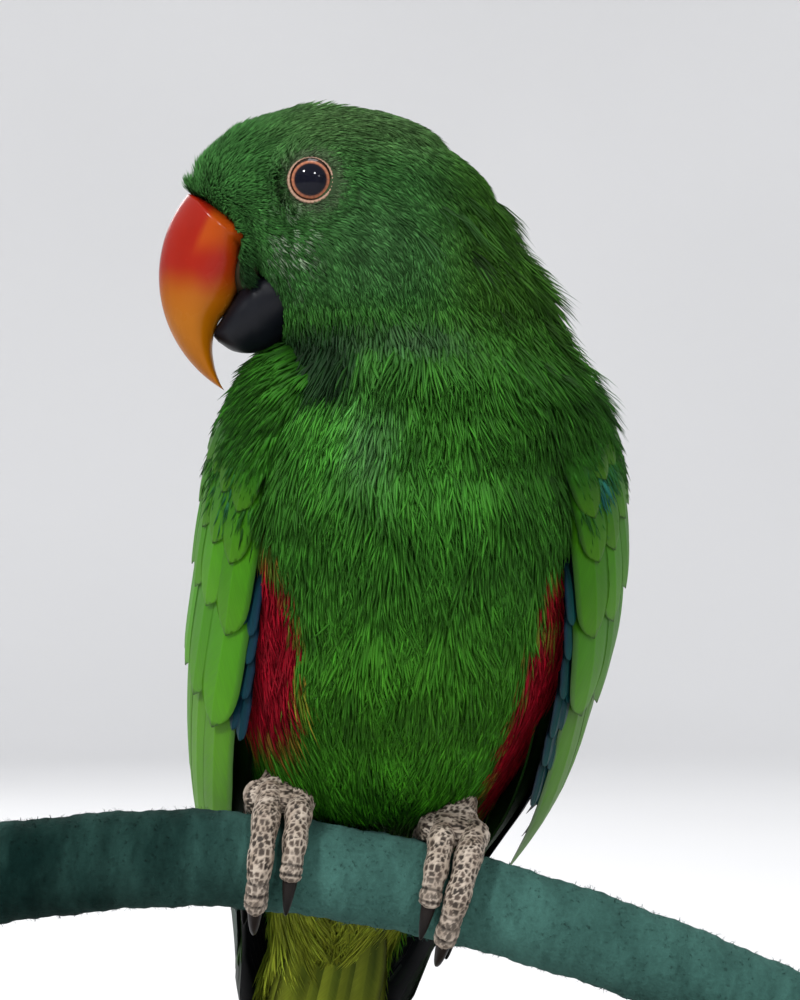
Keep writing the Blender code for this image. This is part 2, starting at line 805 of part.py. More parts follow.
def perch_ring(x, extra=0.0, count=16):
    centre, up, _, radius = perch_frame(x)
    back = np.array([0, 1.0, 0])
    return [centre + (radius + extra) * (up * math.cos(a) + back * math.sin(a)) for a in turns(count)]


def perch():
    low, high = PERCH_ENDS
    steps = 14
    rings = [perch_ring(low + (high - low) * i / steps) for i in range(steps + 1)]
    ends = [perch_ring(low - 1.6, -2.0)] + rings + [perch_ring(high + 1.6, -2.0)]
    return loft("perch", ends, "perch_cloth")


def toe_ring(x, turn, out, radius, count=7):
    """A ring round a toe that lies over the perch, at a turn from its top. out is the clearance below it."""
    centre, up, along, perch_radius = perch_frame(x)
    back = np.array([0, -1.0, 0])
    outward = up * math.cos(turn) + back * math.sin(turn)
    middle = centre + outward * (perch_radius + out + radius)
    return [middle + radius * (outward * math.cos(a) + along * math.sin(a)) for a in turns(count)]


# Each toe: where it starts and ends along the perch from the foot's middle, turn at its end, thickness
TOES = {
    "long_front": (-2.9, -3.2, 131, 1.0),
    "short_front": (3.9, 4.2, 98, 0.96),
    "long_back": (-4.4, -5.0, -122, 0.92),
    "short_back": (4.4, 6.8, -92, 0.86),
}


def toe(x, inner, kind):
    """A jointed toe bent round the perch, with a swelling at each joint."""
    start, end, last, thick = TOES[kind]
    steps = 8 if "long" in kind else 6
    rings = []
    for i in range(steps + 1):
        share = i / steps
        turn = math.radians(last) * share + math.radians(6 if last > 0 else -6) * (1 - share)
        place = x + inner * (start + (end - start) * share)
        radius = TOE_RADIUS * thick * (1.0 + 0.07 * math.cos(share * 6.5 * math.pi)) * (1.05 - 0.14 * share)
        rings.append(toe_ring(place, turn, GAP, radius))
    return loft("toe", rings, "toe_scale")


def claw(name, x, inner, kind):
    """A curved, tapering claw that leaves the toe's end and points down past the perch."""
    start, end, last, thick = TOES[kind]
    sign = 1 if last > 0 else -1
    place = x + inner * end
    end_radius = TOE_RADIUS * thick * 0.9
    reach = 40 if "long" in kind else 36
    rings = []
    steps = 5
    for i in range(steps + 1):
        share = i / steps
        turn = math.radians(last + sign * (1.5 + reach * share))
        radius = CLAW_RADIUS * (1 - share) ** 0.75 + 0.35 * share
        out = GAP + end_radius - radius + 1.7 * share
        rings.append(toe_ring(place, turn, max(out, GAP), radius, 7))
    return loft(name, rings, "claw")


def foot(name, x, inner):
    """Four toes, two before and two behind the perch, joined by a pad, with the shank above it."""
    centre, up, along, radius = perch_frame(x)
    top = centre + up * (radius + GAP)
    back = np.array([0, 1.0, 0])
    rings = []
    for rise, half_x, half_y, lean in (
        (0.0, 5.6, 4.4, 0.0),
        (2.2, 7.2, 6.2, 0.1),
        (5.6, 6.0, 5.8, 0.8),
        (9.5, 4.0, 4.4, 2.6),
        (20.0, 3.8, 4.0, 8.0),
    ):
        middle = top + up * rise + back * lean
        rings.append([middle + along * half_x * math.cos(a) + back * half_y * math.sin(a) for a in turns(12)])
    shank = loft(name, rings, "toe_scale")
    boolean(shank, [toe(x, inner, kind) for kind in TOES], "UNION")
    keep_largest(shank)
    return shank


# Stand


def base_plate(name):
    """A flat plate on the floor, with rounded edges."""
    bpy.ops.mesh.primitive_cube_add(size=1, location=(0, 0, BASE_THICK / 2 * MM))
    made = bpy.context.object
    made.name = name
    made.data.name = name
    made.data.transform(Matrix.Diagonal((BASE_WIDTH * MM, BASE_DEPTH * MM, BASE_THICK * MM, 1)))
    made.data.materials.append(material("stand_wood"))
    edge = made.modifiers.new("bevel", "BEVEL")
    edge.width = BASE_BEVEL * MM
    edge.segments = 3
    edge.limit_method = "ANGLE"
    return made


def level_ring(x, height, radius, count=16):
    return [(x + radius * math.cos(a), PERCH_CREST[1] + radius * math.sin(a), height) for a in turns(count)]


def rod(name, x):
    """A round rod from the base up into a socket in the perch."""
    top = perch_height(x) - ROD_SOCKET
    low = BASE_THICK + GAP - MID_HEIGHT
    return loft(name, [level_ring(x, z, ROD_RADIUS) for z in (low, top)], "stand_metal")


def rod_socket(x):
    """A cutter for the rod's blind hole in the underside of the perch."""
    low = perch_height(x) - 30.0
    top = perch_height(x) - ROD_SOCKET + GAP
    return loft("socket", [level_ring(x, z, ROD_RADIUS + GAP) for z in (low, top)], "stand_metal")


def build():
    clear_scene()
    body = whole_body()
    plain_body = whole_body(24, 22)
    perch_solid = perch()
    perch_cutter = inflated(perch_solid)

    neck_low, neck_high = NECK_CUTS
    half_gap = GAP / 2
    up, down = (0, 0, 1), (0, 0, -1)
    rump = (axis_point(TAIL_CUT - half_gap), AXIS)
    torso = between(body, "torso", [((0, 0, neck_low - half_gap), up), rump])
    neck = between(body, "neck", [((0, 0, neck_low + half_gap), down), ((0, 0, neck_high - half_gap), up)])
    head = between(body, "head", [((0, 0, neck_high + half_gap), down)])
    tail = between(body, "tail", [(axis_point(TAIL_CUT + half_gap), -AXIS)])
    finish_tail(tail)
    boolean(torso, [perch_cutter], "DIFFERENCE")
    keep_largest(torso)
    finish_head(head)

    upper = upper_bill()
    lower = lower_bill()
    boolean(lower, [inflated(upper), inflated(body)], "DIFFERENCE")
    keep_largest(lower)
    boolean(upper, [inflated(body)], "DIFFERENCE")
    keep_largest(upper)

    for side, word in ((-1, "right"), (1, "left")):
        x, inner = FEET[word]
        leg = foot("leg_" + word, x, inner)
        boolean(leg, [inflated(body)], "DIFFERENCE")
        keep_largest(leg)
        for kind in TOES:
            nail = claw(f"claw_{word}_{kind}", x, inner, kind)
            boolean(nail, [inflated(leg)], "DIFFERENCE")
            keep_largest(nail)
            shade(nail)
        shade(leg)
        wing("wing_" + word, side, inflated(plain_body, 2.7 * GAP))
        eye = ball("eye_" + word, eye_centre(-side), EYE_RADIUS, "eye", 14, 8)
        shade(eye)

    boolean(perch_solid, [rod_socket(-ROD_X), rod_socket(ROD_X)], "DIFFERENCE")
    keep_largest(perch_solid)
    rod("stand_rod_right", -ROD_X)
    rod("stand_rod_left", ROD_X)
    base_plate("stand_base")

    bpy.data.objects.remove(body)
    bpy.data.objects.remove(plain_body)
    for made in (torso, neck, upper, lower, perch_solid):
        shade(made)


build()
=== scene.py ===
"""The looks of a male eclectus parrot on a cloth-wrapped perch: skin, feathers, bill, eyes, feet, perch and stand.

Shapes are worked out in the bird's own frame, in millimetres, with z = 0 at its middle height. They are moved to the
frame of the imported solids, in metres, as each mesh is made. The camera looks along +Y.
"""

import math

import bpy
import numpy as np
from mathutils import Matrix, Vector


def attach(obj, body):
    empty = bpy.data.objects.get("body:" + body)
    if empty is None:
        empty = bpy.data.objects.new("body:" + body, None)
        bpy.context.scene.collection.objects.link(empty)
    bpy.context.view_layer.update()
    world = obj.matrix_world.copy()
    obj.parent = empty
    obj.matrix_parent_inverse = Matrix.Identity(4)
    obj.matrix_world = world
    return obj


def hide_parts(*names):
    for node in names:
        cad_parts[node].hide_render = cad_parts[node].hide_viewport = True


bl_info = {
    "name": "Parrot on a perch",
    "version": (1, 0, 0),
    "blender": (4, 5, 0),
    "location": "3D View > Sidebar > Parrot",
    "description": "Builds plumage, bill, eyes, feet, perch and stand around the packed solids",
    "category": "Object",
}

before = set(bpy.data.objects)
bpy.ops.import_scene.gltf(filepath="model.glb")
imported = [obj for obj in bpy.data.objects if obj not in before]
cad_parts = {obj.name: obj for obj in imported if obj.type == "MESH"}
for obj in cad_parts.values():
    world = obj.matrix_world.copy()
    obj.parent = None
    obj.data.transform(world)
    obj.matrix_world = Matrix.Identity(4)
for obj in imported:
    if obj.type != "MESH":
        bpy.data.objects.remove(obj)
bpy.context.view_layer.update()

# Places and sizes, in millimetres and radians
MM = 0.001
SHIFT = np.array([0.0, -36.0, 246.0])
HEAD_PLANE_Y = -4.0
AXIS_HEIGHT = 15.0
LEAN = math.radians(27.0)
AXIS = np.array([0.0, math.sin(LEAN), -math.cos(LEAN)])
ACROSS, BACKWARDS = np.array([1.0, 0.0, 0.0]), np.array([0.0, 1.0, 0.0])
OUTWARD = np.array([0.0, math.cos(LEAN), math.sin(LEAN)])
EYE_X, EYE_HEIGHT, EYE_SINK, EYE_RADIUS = -18.4, 65.9, 3.9, 5.3
BARE_REACH, LID_REACH, LID_TILT = 6.6, 4.52, math.radians(10)
PUPIL_EDGE, IRIS_START, IRIS_END = (3.15, 3.36), (3.38, 3.5), (3.84, 3.98)
CULMEN_ROOT, CULMEN_TIP, CULMEN_RISE = (-44.7, 64.9), (-37.2, 23.2), 9.8
BILL_FRONT, HEAD_MIDDLE = np.array([-47.0, HEAD_PLANE_Y, 57.0]), np.array([-26.0, HEAD_PLANE_Y, 57.0])
GAPE_MIDDLE, GAPE_RADII, LOWER_BILL_TIP = (-32.2, HEAD_PLANE_Y, 48.3), (3.9, 7.6, 5.3), (-39.4, HEAD_PLANE_Y, 34.6)
VENT_TIP, CROWN_TOP = (-23.4, 70.4, -136), (-14.2, -4, 83.5)
BODY_LOW, BODY_HIGH = -134, 83.4
PERCH_CREST = (-45.0, -5.0, -75.6)
PERCH_FALLS, PERCH_SPANS, PERCH_BEND = (34.5, 3.4), (130.0, 40.0), 1.7
PERCH_ENDS, PERCH_RADII = (-101.0, 101.0), (10.9, 9.3)
TAIL_TIP, TAIL_LENGTH = 262.0, 122.0
CAMERA_DISTANCE, FOCAL_LENGTH, SENSOR, CAMERA_CLIP = 750.0, 126.9, 36.0, (0.01, 20)
SIDES = ((-1, "right"), (1, "left"))
# Steps of the two-way golden-ratio sequence, which spreads points evenly
GOLDEN_STEPS = (0.7548776662, 0.5698402910)
# Lamps: name, direction from the bird, size in millimetres, power in watts
LIGHTS = (
    ("key", (-0.46, -0.59, 0.66), 260, 37.0), ("fill", (0.28, -0.78, 0.55), 260, 17.0),
    ("side", (0.583, -0.73, 0.351), 260, 2.5), ("top", (0.05, 0.25, 0.97), 900, 12.0),
    ("back", (-0.3, 0.85, 0.43), 900, 12.0),
)
LIGHT_DISTANCE, LIGHT_TARGET = 2200, np.array([0.0, 0.0, 10.0])

# Swing of the middle line: distance along it, x
AXIS_SWING = [
    (-22, 2.4), (5, 3.2), (17, 2.9), (29, 2.3), (41, 1.1), (54, -0.9), (66, -2.5), (78, -4.5), (90, -7.0),
    (118, -13.0), (148, -19.0), (200, -28.5), (266, -40.0),
]
# Body outline: height, middle x, middle y, half width, depth in front, depth behind
BODY_SECTIONS = [
    (-134, -23.0, 69.5, 7.0, 2.6, 2.4), (-126, -21.3, 66.0, 10.5, 4.8, 4.2), (-117, -19.4, 61.5, 12.8, 7.6, 6.6),
    (-107, -17.3, 56.3, 14.0, 11.5, 9.4), (-97, -14.6, 51.0, 15.2, 16.5, 12.6), (-86, -11.5, 44.5, 18.5, 24, 17.5),
    (-76, -8.5, 37, 22.5, 30, 22), (-68, -6.5, 30, 26, 35, 26.5), (-60, -4.5, 24, 29.5, 40, 30),
    (-50, -2.5, 18, 33.5, 43, 32), (-38, -0.5, 12, 37, 46, 34), (-25, 1.0, 7, 39.5, 45, 34),
    (-12, 2.0, 3, 40.5, 44, 34), (0, 3.0, 0, 40.5, 41.5, 33), (10, 4.0, -1, 39, 38, 30),
    (20, 5.8, -2, 37, 34, 27), (28, 6.2, -3, 33.0, 29, 25), (34, 4.8, -3, 30.2, 25, 23.5),
    (40, 2.3, -3, 29.5, 23.5, 23), (46, -0.4, -3.5, 29.8, 23, 22.8), (52, -4.0, -4, 29.5, 22.6, 22.6),
    (58, -7.5, -4, 29.5, 22.4, 22.4), (64, -11.2, -4, 31.2, 21.8, 21.8), (70, -13.6, -4, 29.6, 20.2, 20.2),
    (75.3, -14.7, -4, 24.3, 17.3, 17.3), (80, -14.8, -4, 18.0, 13.3, 13.3), (83.4, -14.5, -4, 8.5, 7.0, 7.0),
]
# Folded wing shell: distance along the axis, half width, depth behind, depth in front, shift towards the back
WING_SHELL = [
    (-22, 25.0, 15, 22, 0), (-15, 33.0, 21, 31, 0), (-7, 38.5, 26, 39, 0), (5, 43.0, 30, 47, 0),
    (17, 45.0, 32, 53, 0), (29, 45.8, 32.5, 56, 0), (41, 46.0, 32, 57, 0), (54, 45.4, 31, 57, 0),
    (66, 44.2, 30, 56, 0), (78, 42.0, 28, 54, 0), (90, 38.5, 25, 49, 0.2), (105, 32.5, 21.2, 41, 0.8),
    (130, 23, 15.2, 28, 3.0), (150, 17.0, 10.6, 20, 4.4), (190, 13, 6.2, 13, 4.8), (232, 9.5, 3.4, 8, 5.0),
]
WING_FLATTENS = (95.0, 135.0)
# Share of the way down the upper bill, cutting edge x and height, half width
UPPER_BILL = [
    (0.0, -33.0, 53.0, 9.6), (0.15, -33.0, 49.0, 9.5), (0.30, -34.0, 44.8, 8.9), (0.45, -35.8, 41.0, 7.9),
    (0.58, -38.6, 37.2, 6.4), (0.70, -39.6, 33.6, 4.9), (0.85, -39.4, 29.0, 3.0), (0.95, -38.5, 25.4, 1.5),
]
# Share of the way from tip to root of the lower bill, mouth line x and height, keel x and height, half width
LOWER_BILL = [
    (0.0, -39.0, 36.4, -38.4, 33.4, 3.4), (0.3, -36.3, 40.6, -35.0, 31.4, 6.3),
    (0.6, -33.3, 45.2, -30.3, 31.2, 8.0), (0.85, -30.0, 48.7, -25.5, 32.8, 8.6), (1.0, -24.0, 49.5, -19.5, 37.5, 8.0),
]
# Feet: place along the perch and side of the inner toes. Front toes: start and end of the long and the short one.
# Toes: start, end, turn at the end, thickness
FEET = {"right": (-27.0, 1.0), "left": (8.2, -1.0)}
FRONT_TOES = {"right": ((-1.9, -2.3), (4.2, 4.4)), "left": ((-4.0, -3.0), (2.3, 1.9))}
TOE_RADIUS, CLAW_RADIUS, GAP = 3.2, 2.0, 0.3
TOES = {
    "long_front": (-2.9, -3.2, 131, 1.0), "short_front": (3.9, 4.2, 98, 0.96),
    "long_back": (-4.4, -5.0, -122, 0.92), "short_back": (4.4, 6.8, -92, 0.86),
}

# Pad and shank: place in the list, height over the perch, half width, half depth, shift backwards
SHANK = [
    (0, 0.1, 6.6, 4.8, 0.0), (1, 2.6, 7.6, 6.2, 0.2), (2, 5.2, 6.4, 6.0, 1.4), (3, 7.8, 4.0, 4.6, 4.8),
    (4, 15.0, 3.2, 3.4, 13.0),
]

# Colours, as linear red, green and blue
HEAD_GREEN = (0.034, 0.123, 0.026)
CROWN_GREEN = (0.060, 0.134, 0.040)
NAPE_GREEN = (0.030, 0.099, 0.009)
# Painted highlight: the lighter green of the lamp-lit front of the upper breast
LIT_FRONT_GREEN = (0.048, 0.225, 0.021)
BREAST_GREEN = (0.0235, 0.108, 0.009)
BELLY_GREEN = (0.031, 0.138, 0.0075)
LOW_GREEN = (0.022, 0.120, 0.0038)
GREY_GREEN = (0.060, 0.120, 0.058)
EYE_PATCH = (0.085, 0.115, 0.065)
# Partly the throat's darker feathers, partly painted shade under the cheeks and in the corner of the mouth
THROAT_DARK_AND_SHADE = (0.007, 0.026, 0.007)
FLANK_RED = (0.168, 0.0012, 0.0070)
FRINGE = (0.120, 0.068, 0.008)
WING_LIME = (0.046, 0.190, 0.0035)
WING_YELLOW = (0.100, 0.235, 0.006)
WING_DEEP = (0.012, 0.072, 0.003)
WING_OLIVE = (0.032, 0.080, 0.005)
WING_BLUE = (0.004, 0.026, 0.090)
WING_TEAL = (0.004, 0.080, 0.060)
FLIGHT_DARK = (0.006, 0.006, 0.009)
TAIL_TOP = (0.016, 0.095, 0.035)
TAIL_PALE = (0.360, 0.320, 0.055)
VENT_OLIVE = (0.165, 0.205, 0.016)
SKIN_DARK = (0.006, 0.018, 0.003)
# Painted glints on a share of the cheek's barbs
GLINT_BARBS = (0.30, 0.36, 0.27)
WING_BEND = (0.008, 0.085, 0.105)
# Partly a darker green, partly painted shadow of the overlapping undertail coverts
TAIL_STREAK_AND_SHADE = (0.020, 0.040, 0.004)
HORN_RIM, HORN_EDGE, HORN_BLACK = (0.30, 0.050, 0.003), (0.33, 0.13, 0.010), (0.0030, 0.0036, 0.0060)
GAPE_SKIN = (0.04, 0.018, 0.014)
PUPIL, IRIS_RING, IRIS_EDGE = (0.0015, 0.0018, 0.006), (0.030, 0.008, 0.006), (0.014, 0.005, 0.003)
IRIS_RAYS = (0.34, 0.125, 0.062), (0.24, 0.09, 0.055)
LID_PALE, LID_OUTER, LID_RIM = (0.27, 0.155, 0.10), (0.10, 0.085, 0.05), (0.03, 0.010, 0.006)
SCALE_NET = (0.28, 0.225, 0.175), (0.42, 0.355, 0.29)
SCALE_PITS = (0.015, 0.011, 0.008), (0.072, 0.052, 0.040)
# Pale plates, and near-black folds between them as painted shade
TOE_PLATES = (0.22, 0.18, 0.145), (0.014, 0.010, 0.008)
CLAW_ROOT, CLAW_TIP = (0.013, 0.010, 0.009), (0.004, 0.004, 0.004)
# The fleece's lighter dusty green, reached where it is blotched and where it is lit: partly painted light
CLOTH_DUSTY_LIT = (0.040, 0.104, 0.088)
WALNUT = [(0.25, (0.030, 0.015, 0.008)), (0.55, (0.105, 0.052, 0.026)), (0.8, (0.190, 0.105, 0.052))]
STEEL = (0.56, 0.57, 0.59)
PAPER = (0.66, 0.66, 0.66), (0.72, 0.72, 0.72)
SKY, SKY_STRENGTH = (0.95, 0.96, 1.0, 1), 0.92


def lerp(a, b, share):
    """Two arrays or colours mixed by a share, which may be an array of its own."""
    share = np.asarray(share, float)[..., None]
    return np.asarray(a, float) * (1 - share) + np.asarray(b, float) * share


def layered(base, *layers):
    """A base colour with tints laid over it in order, each with its share."""
    for tint, share in layers:
        base = lerp(base, tint, share)
    return base


def smooth(low, high, value):
    """0 below low, 1 above high, and an even slope between. low may be the greater one."""
    t = np.clip((np.asarray(value, float) - low) / (high - low), 0, 1)
    return t * t * (3 - 2 * t)


def unit(vectors):
    """The vectors at length 1."""
    return vectors / np.maximum(np.linalg.norm(vectors, axis=-1, keepdims=True), 1e-9)


def less(vectors, ways, share=1.0):
    """The vectors less that share of their part along the ways: v - w (v . w) share."""
    return vectors - ways * (vectors * ways).sum(-1, keepdims=True) * share


def circle(count):
    """Even turns of a full circle."""
    return np.linspace(0, 2 * math.pi, count, endpoint=False)


def waves(places, size, seed):
    """A smooth uneven field of about -1 to 1: seven sine waves that cross at random angles."""
    draw = np.random.default_rng(seed)
    turns = unit(draw.normal(size=(7, 3))) * (2 * math.pi / size) * draw.uniform(0.6, 1.6, (7, 1))
    return np.sin(np.asarray(places) @ turns.T + draw.uniform(0, 6.28, 7)).sum(-1) / 2.6


class Curve:
    """A smooth curve through listed rows: cubic pieces that share their slopes at the rows."""

    def __init__(self, rows):
        table = np.array(rows, float)
        self.t, self.v = table[:, 0], table[:, 1:]
        self.m = np.gradient(self.v, self.t, axis=0)

    def __call__(self, t):
        t = np.clip(np.asarray(t, float), self.t[0], self.t[-1])
        i = np.clip(np.searchsorted(self.t, t) - 1, 0, len(self.t) - 2)
        h = (self.t[i + 1] - self.t[i])[..., None]
        s = (t - self.t[i])[..., None] / h
        start = (2 * s**3 - 3 * s**2 + 1) * self.v[i] + (s**3 - 2 * s**2 + s) * h * self.m[i]
        end = (3 * s**2 - 2 * s**3) * self.v[i + 1] + (s**3 - s**2) * h * self.m[i + 1]
        return start + end


BODY, SHELL, SWING = Curve(BODY_SECTIONS), Curve(WING_SHELL), Curve(AXIS_SWING)
UPPER, LOWER = Curve(UPPER_BILL), Curve(LOWER_BILL)


# Shader trees


class Value:
    """A socket of a shader tree. Arithmetic on it adds Math nodes to the tree."""

    def __init__(self, paint, socket):
        self.paint, self.socket = paint, socket

    def math(self, operation, a, b=0.0):
        """One Math node over two values."""
        return self.paint.node("ShaderNodeMath", {"operation": operation}, {0: a, 1: b})

    def __add__(self, other):
        return self.math("ADD", self, other)

    def __sub__(self, other):
        return self.math("SUBTRACT", self, other)

    def __mul__(self, other):
        return self.math("MULTIPLY", self, other)

    def __truediv__(self, other):
        return self.math("DIVIDE", self, other)

    def __rsub__(self, other):
        return self.math("SUBTRACT", other, self)

    __radd__, __rmul__ = __add__, __mul__

    def between(self, low, high):
        """0 below low and 1 above high, with a smooth slope."""
        settings = {"interpolation_type": "SMOOTHSTEP"}
        return self.paint.node("ShaderNodeMapRange", settings, {0: self, 1: low, 2: high, 3: 0.0, 4: 1.0})


class Paint:
    """One material: a Principled shader whose even values are given by name, and the nodes that feed it."""

    def __init__(self, name, **even):
        self.material = bpy.data.materials.new(name)
        self.material.use_nodes = True
        self.tree = self.material.node_tree
        self.shader = self.tree.nodes["Principled BSDF"]
        for words, value in even.items():
            self.shader.inputs[words.replace("_", " ").title().replace("Ior", "IOR")].default_value = value

    def node(self, kind, settings=None, inputs=None, output=0):
        """One output of a new node with these settings and inputs. The setting stops fills a colour ramp."""
        made = self.tree.nodes.new(kind)
        for key, value in (settings or {}).items():
            if key == "stops":
                self.ramp(made.color_ramp, value)
            else:
                setattr(made, key, value)
        for key, value in (inputs or {}).items():
            self.feed(made.inputs[key], value)
        return Value(self, made.outputs[output])

    def ramp(self, ramp, stops):
        """Sets a ramp's places and colours."""
        while len(ramp.elements) < len(stops):
            ramp.elements.new(0.5)
        for element, (place, colour) in zip(ramp.elements, stops):
            element.position = place
            element.color = (*colour, 1)

    def feed(self, socket, value):
        """Links what varies, and sets what is even on the socket itself."""
        if isinstance(value, Value):
            self.tree.links.new(value.socket, socket)
        elif hasattr(value, "__len__") and len(value) == 3 and socket.type == "RGBA":
            socket.default_value = (*value, 1)
        else:
            socket.default_value = value

    def place(self):
        """Places in the object's own frame, in metres."""
        return self.node("ShaderNodeTexCoord", output="Object")

    def tint(self):
        """The mesh's own colours."""
        return self.node("ShaderNodeAttribute", {"attribute_name": "tint"}, output="Color")

    def noise(self, scale, detail=3.0, vector=None, rough=0.5, stretch=None):
        """A noise of about 0 to 1 over the object's places in metres, or over another vector."""
        vector = vector or self.place()
        if stretch:
            vector = self.node("ShaderNodeMapping", None, {"Vector": vector, "Scale": stretch})
        sockets = {"Vector": vector, "Scale": scale, "Detail": detail, "Roughness": rough}
        return self.node("ShaderNodeTexNoise", None, sockets)

    def mix(self, share, a, b):
        """Two colours mixed by a share."""
        return self.node("ShaderNodeMix", {"data_type": "RGBA"}, {0: share, 6: a, 7: b}, 2)

    def scaled(self, colour, factor):
        """A colour times a number that varies."""
        grey = self.node("ShaderNodeCombineXYZ", None, {0: factor, 1: factor, 2: factor})
        return self.node("ShaderNodeVectorMath", {"operation": "MULTIPLY"}, {0: colour, 1: grey})

    def colour(self, value):
        """Sets the base colour."""
        self.feed(self.shader.inputs["Base Color"], value)

    def rough(self, value):
        """Sets the roughness."""
        self.feed(self.shader.inputs["Roughness"], value)

    def bump(self, height, distance, strength):
        """Bends the surface's normals as a relief of that height in metres would."""
        sockets = {"Strength": strength, "Distance": distance, "Height": height}
        self.feed(self.shader.inputs["Normal"], self.node("ShaderNodeBump", None, sockets))


# Meshes


def put_mesh(name, points, faces, colours=None, patches=None, own=None):
    """A mesh object from points of the bird's frame and lists of faces, each list with faces of one size.

    colours is a colour for each point, patches the OFBake place of each point, and own the piece's other UV map.
    """
    points = np.asarray(points, float).reshape(-1, 3)
    if not len(points) or not np.isfinite(points).all():
        raise ValueError(f"{name} has no points, or one that isn't a number")
    mesh = bpy.data.meshes.new(name)
    mesh.vertices.add(len(points))
    mesh.vertices.foreach_set("co", ((points + SHIFT) * MM).astype(np.float32).ravel())
    groups = [np.asarray(group, np.int32) for group in faces if len(group)]
    corners = np.concatenate([group.ravel() for group in groups])
    sizes = np.concatenate([np.full(len(group), group.shape[1], np.int32) for group in groups])
    starts = np.concatenate([[0], np.cumsum(sizes)[:-1]]).astype(np.int32)
    mesh.loops.add(len(corners))
    mesh.loops.foreach_set("vertex_index", corners)
    mesh.polygons.add(len(sizes))
    mesh.polygons.foreach_set("loop_start", starts)
    mesh.polygons.foreach_set("use_smooth", np.full(len(sizes), True))
    mesh.update(calc_edges=True)
    for title, places in (("OFBake", patches), ("feather", own)):
        if places is not None:
            layer = mesh.uv_layers.new(name=title)
            layer.data.foreach_set("uv", np.asarray(places, np.float32).reshape(-1, 2)[corners].ravel())
    if colours is not None:
        colours = np.asarray(colours, float).reshape(-1, 3)
        layer = mesh.color_attributes.new(name="tint", type="FLOAT_COLOR", domain="POINT")
        full = np.concatenate([np.clip(colours, 0, 1), np.ones((len(colours), 1))], axis=1)
        layer.data.foreach_set("color", full.astype(np.float32).ravel())
    made = bpy.data.objects.new(name, mesh)
    bpy.context.scene.collection.objects.link(made)
    return made


def dress(made, paint, slot, *nodes):
    """Gives a piece its material and its body, and hides the solids that it stands for. The slot is not used."""
    made.data.materials.clear()
    made.data.materials.append(paint.material)
    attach(made, "root")
    if nodes:
        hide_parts(*nodes)


def grid_faces(rows, columns, wrap=False):
    """Quads of a grid of points, row by row. wrap joins the last column to the first."""
    across = columns if wrap else columns - 1
    r, c = np.meshgrid(np.arange(rows - 1), np.arange(across), indexing="ij")
    a = r * columns + c
    b = r * columns + (c + 1) % columns
    return np.stack([a, b, b + columns, a + columns], -1).reshape(-1, 4)


def plate_faces(rows, columns):
    """Faces of a closed plate over two grids: the upper one, the lower one, and walls along the rim."""
    each = rows * columns
    rim = np.concatenate([
        np.arange(columns), np.arange(2, rows) * columns - 1, [each - 1],
        np.arange(each - 2, each - 1 - columns, -1), np.arange(rows - 2, 0, -1) * columns,
    ])
    after = np.roll(rim, -1)
    walls = np.stack([rim, rim + each, after + each, after], -1)
    grid = grid_faces(rows, columns)
    return np.concatenate([grid[:, ::-1], grid + each, walls])


def tube(rings, start=None, end=None):
    """Points and faces of a closed tube over rings of shape (rows, columns, 3), with a point at each end."""
    rows, columns = rings.shape[:2]
    start = rings[0].mean(0) if start is None else np.asarray(start, float)
    end = rings[-1].mean(0) if end is None else np.asarray(end, float)
    points = np.concatenate([rings.reshape(-1, 3), [start, end]])
    i = np.arange(columns)
    j = (i + 1) % columns
    last = (rows - 1) * columns
    caps = np.stack([j, i, np.full(columns, rows * columns)], -1)
    tails = np.stack([last + i, last + j, np.full(columns, rows * columns + 1)], -1)
    return points, [grid_faces(rows, columns, True), np.concatenate([caps, tails])]


def with_ends(colours):
    """A tube's colours, with the first and the last one again for its two end points."""
    return np.concatenate([colours, colours[:1], colours[-1:]])


def solid(name, tube_parts, colours, paint, slot, *nodes):
    """A dressed piece from the points and faces of a closed shape, with its faces turned outwards."""
    points, faces = tube_parts
    dress(put_mesh(name, points, facing_out(points, faces), colours), paint, slot, *nodes)


def facing_out(points, faces):
    """The same faces turned round where they point inwards, told from the volume that they enclose."""
    volume = 0.0
    for group in faces:
        for k in range(1, group.shape[1] - 1):
            a, b, c = points[group[:, 0]], points[group[:, k]], points[group[:, k + 1]]
            volume += np.einsum("ij,ij->i", a, np.cross(b, c)).sum()
    return faces if volume > 0 else [group[:, ::-1] for group in faces]


def cells(points, size, seed):
    """Distances from each point to the nearest and second nearest centre of a jittered lattice of that size.

    The third array is a random number that belongs to the nearest centre.
    """
    base = np.floor(points / size).astype(int)
    best = np.full(len(points), 9.0)
    second = best.copy()
    rank = best.copy()
    for step in np.ndindex(3, 3, 3):
        cell = base + np.array(step) - 1
        mixed = (cell * [73856093, 19349663, 83492791]).sum(-1) + seed * 7919
        jitter = np.stack([np.modf(np.abs(np.sin(mixed * (0.731 + k * 0.137))) * 4373.7)[0] for k in range(3)], -1)
        away = np.linalg.norm(points / size - (cell + 0.15 + 0.7 * jitter), axis=-1)
        closer = away < best
        second = np.where(closer, best, np.minimum(second, away))
        rank = np.where(closer, jitter[:, 0], rank)
        best = np.where(closer, away, best)
    return best, second, rank


# The body's surface, the lie of its feathers and its markings


def body_point(turn, height, inset=0.0):
    """A level ellipse at each height, with its own depth in front and behind, moved in along its normal."""
    place = body_plain(turn, height)
    if np.any(inset):
        place = place - body_normal(turn, height) * np.asarray(inset, float)[..., None]
    return place


def body_plain(turn, height):
    """The ellipse at each height: its middle, plus half the width times the cosine and the depth times the sine."""
    x, y, half, front, back = np.moveaxis(BODY(height), -1, 0)
    depth = np.where(np.sin(turn) < 0, front, back)
    return np.stack([x + half * np.cos(turn), y + depth * np.sin(turn), height], -1)


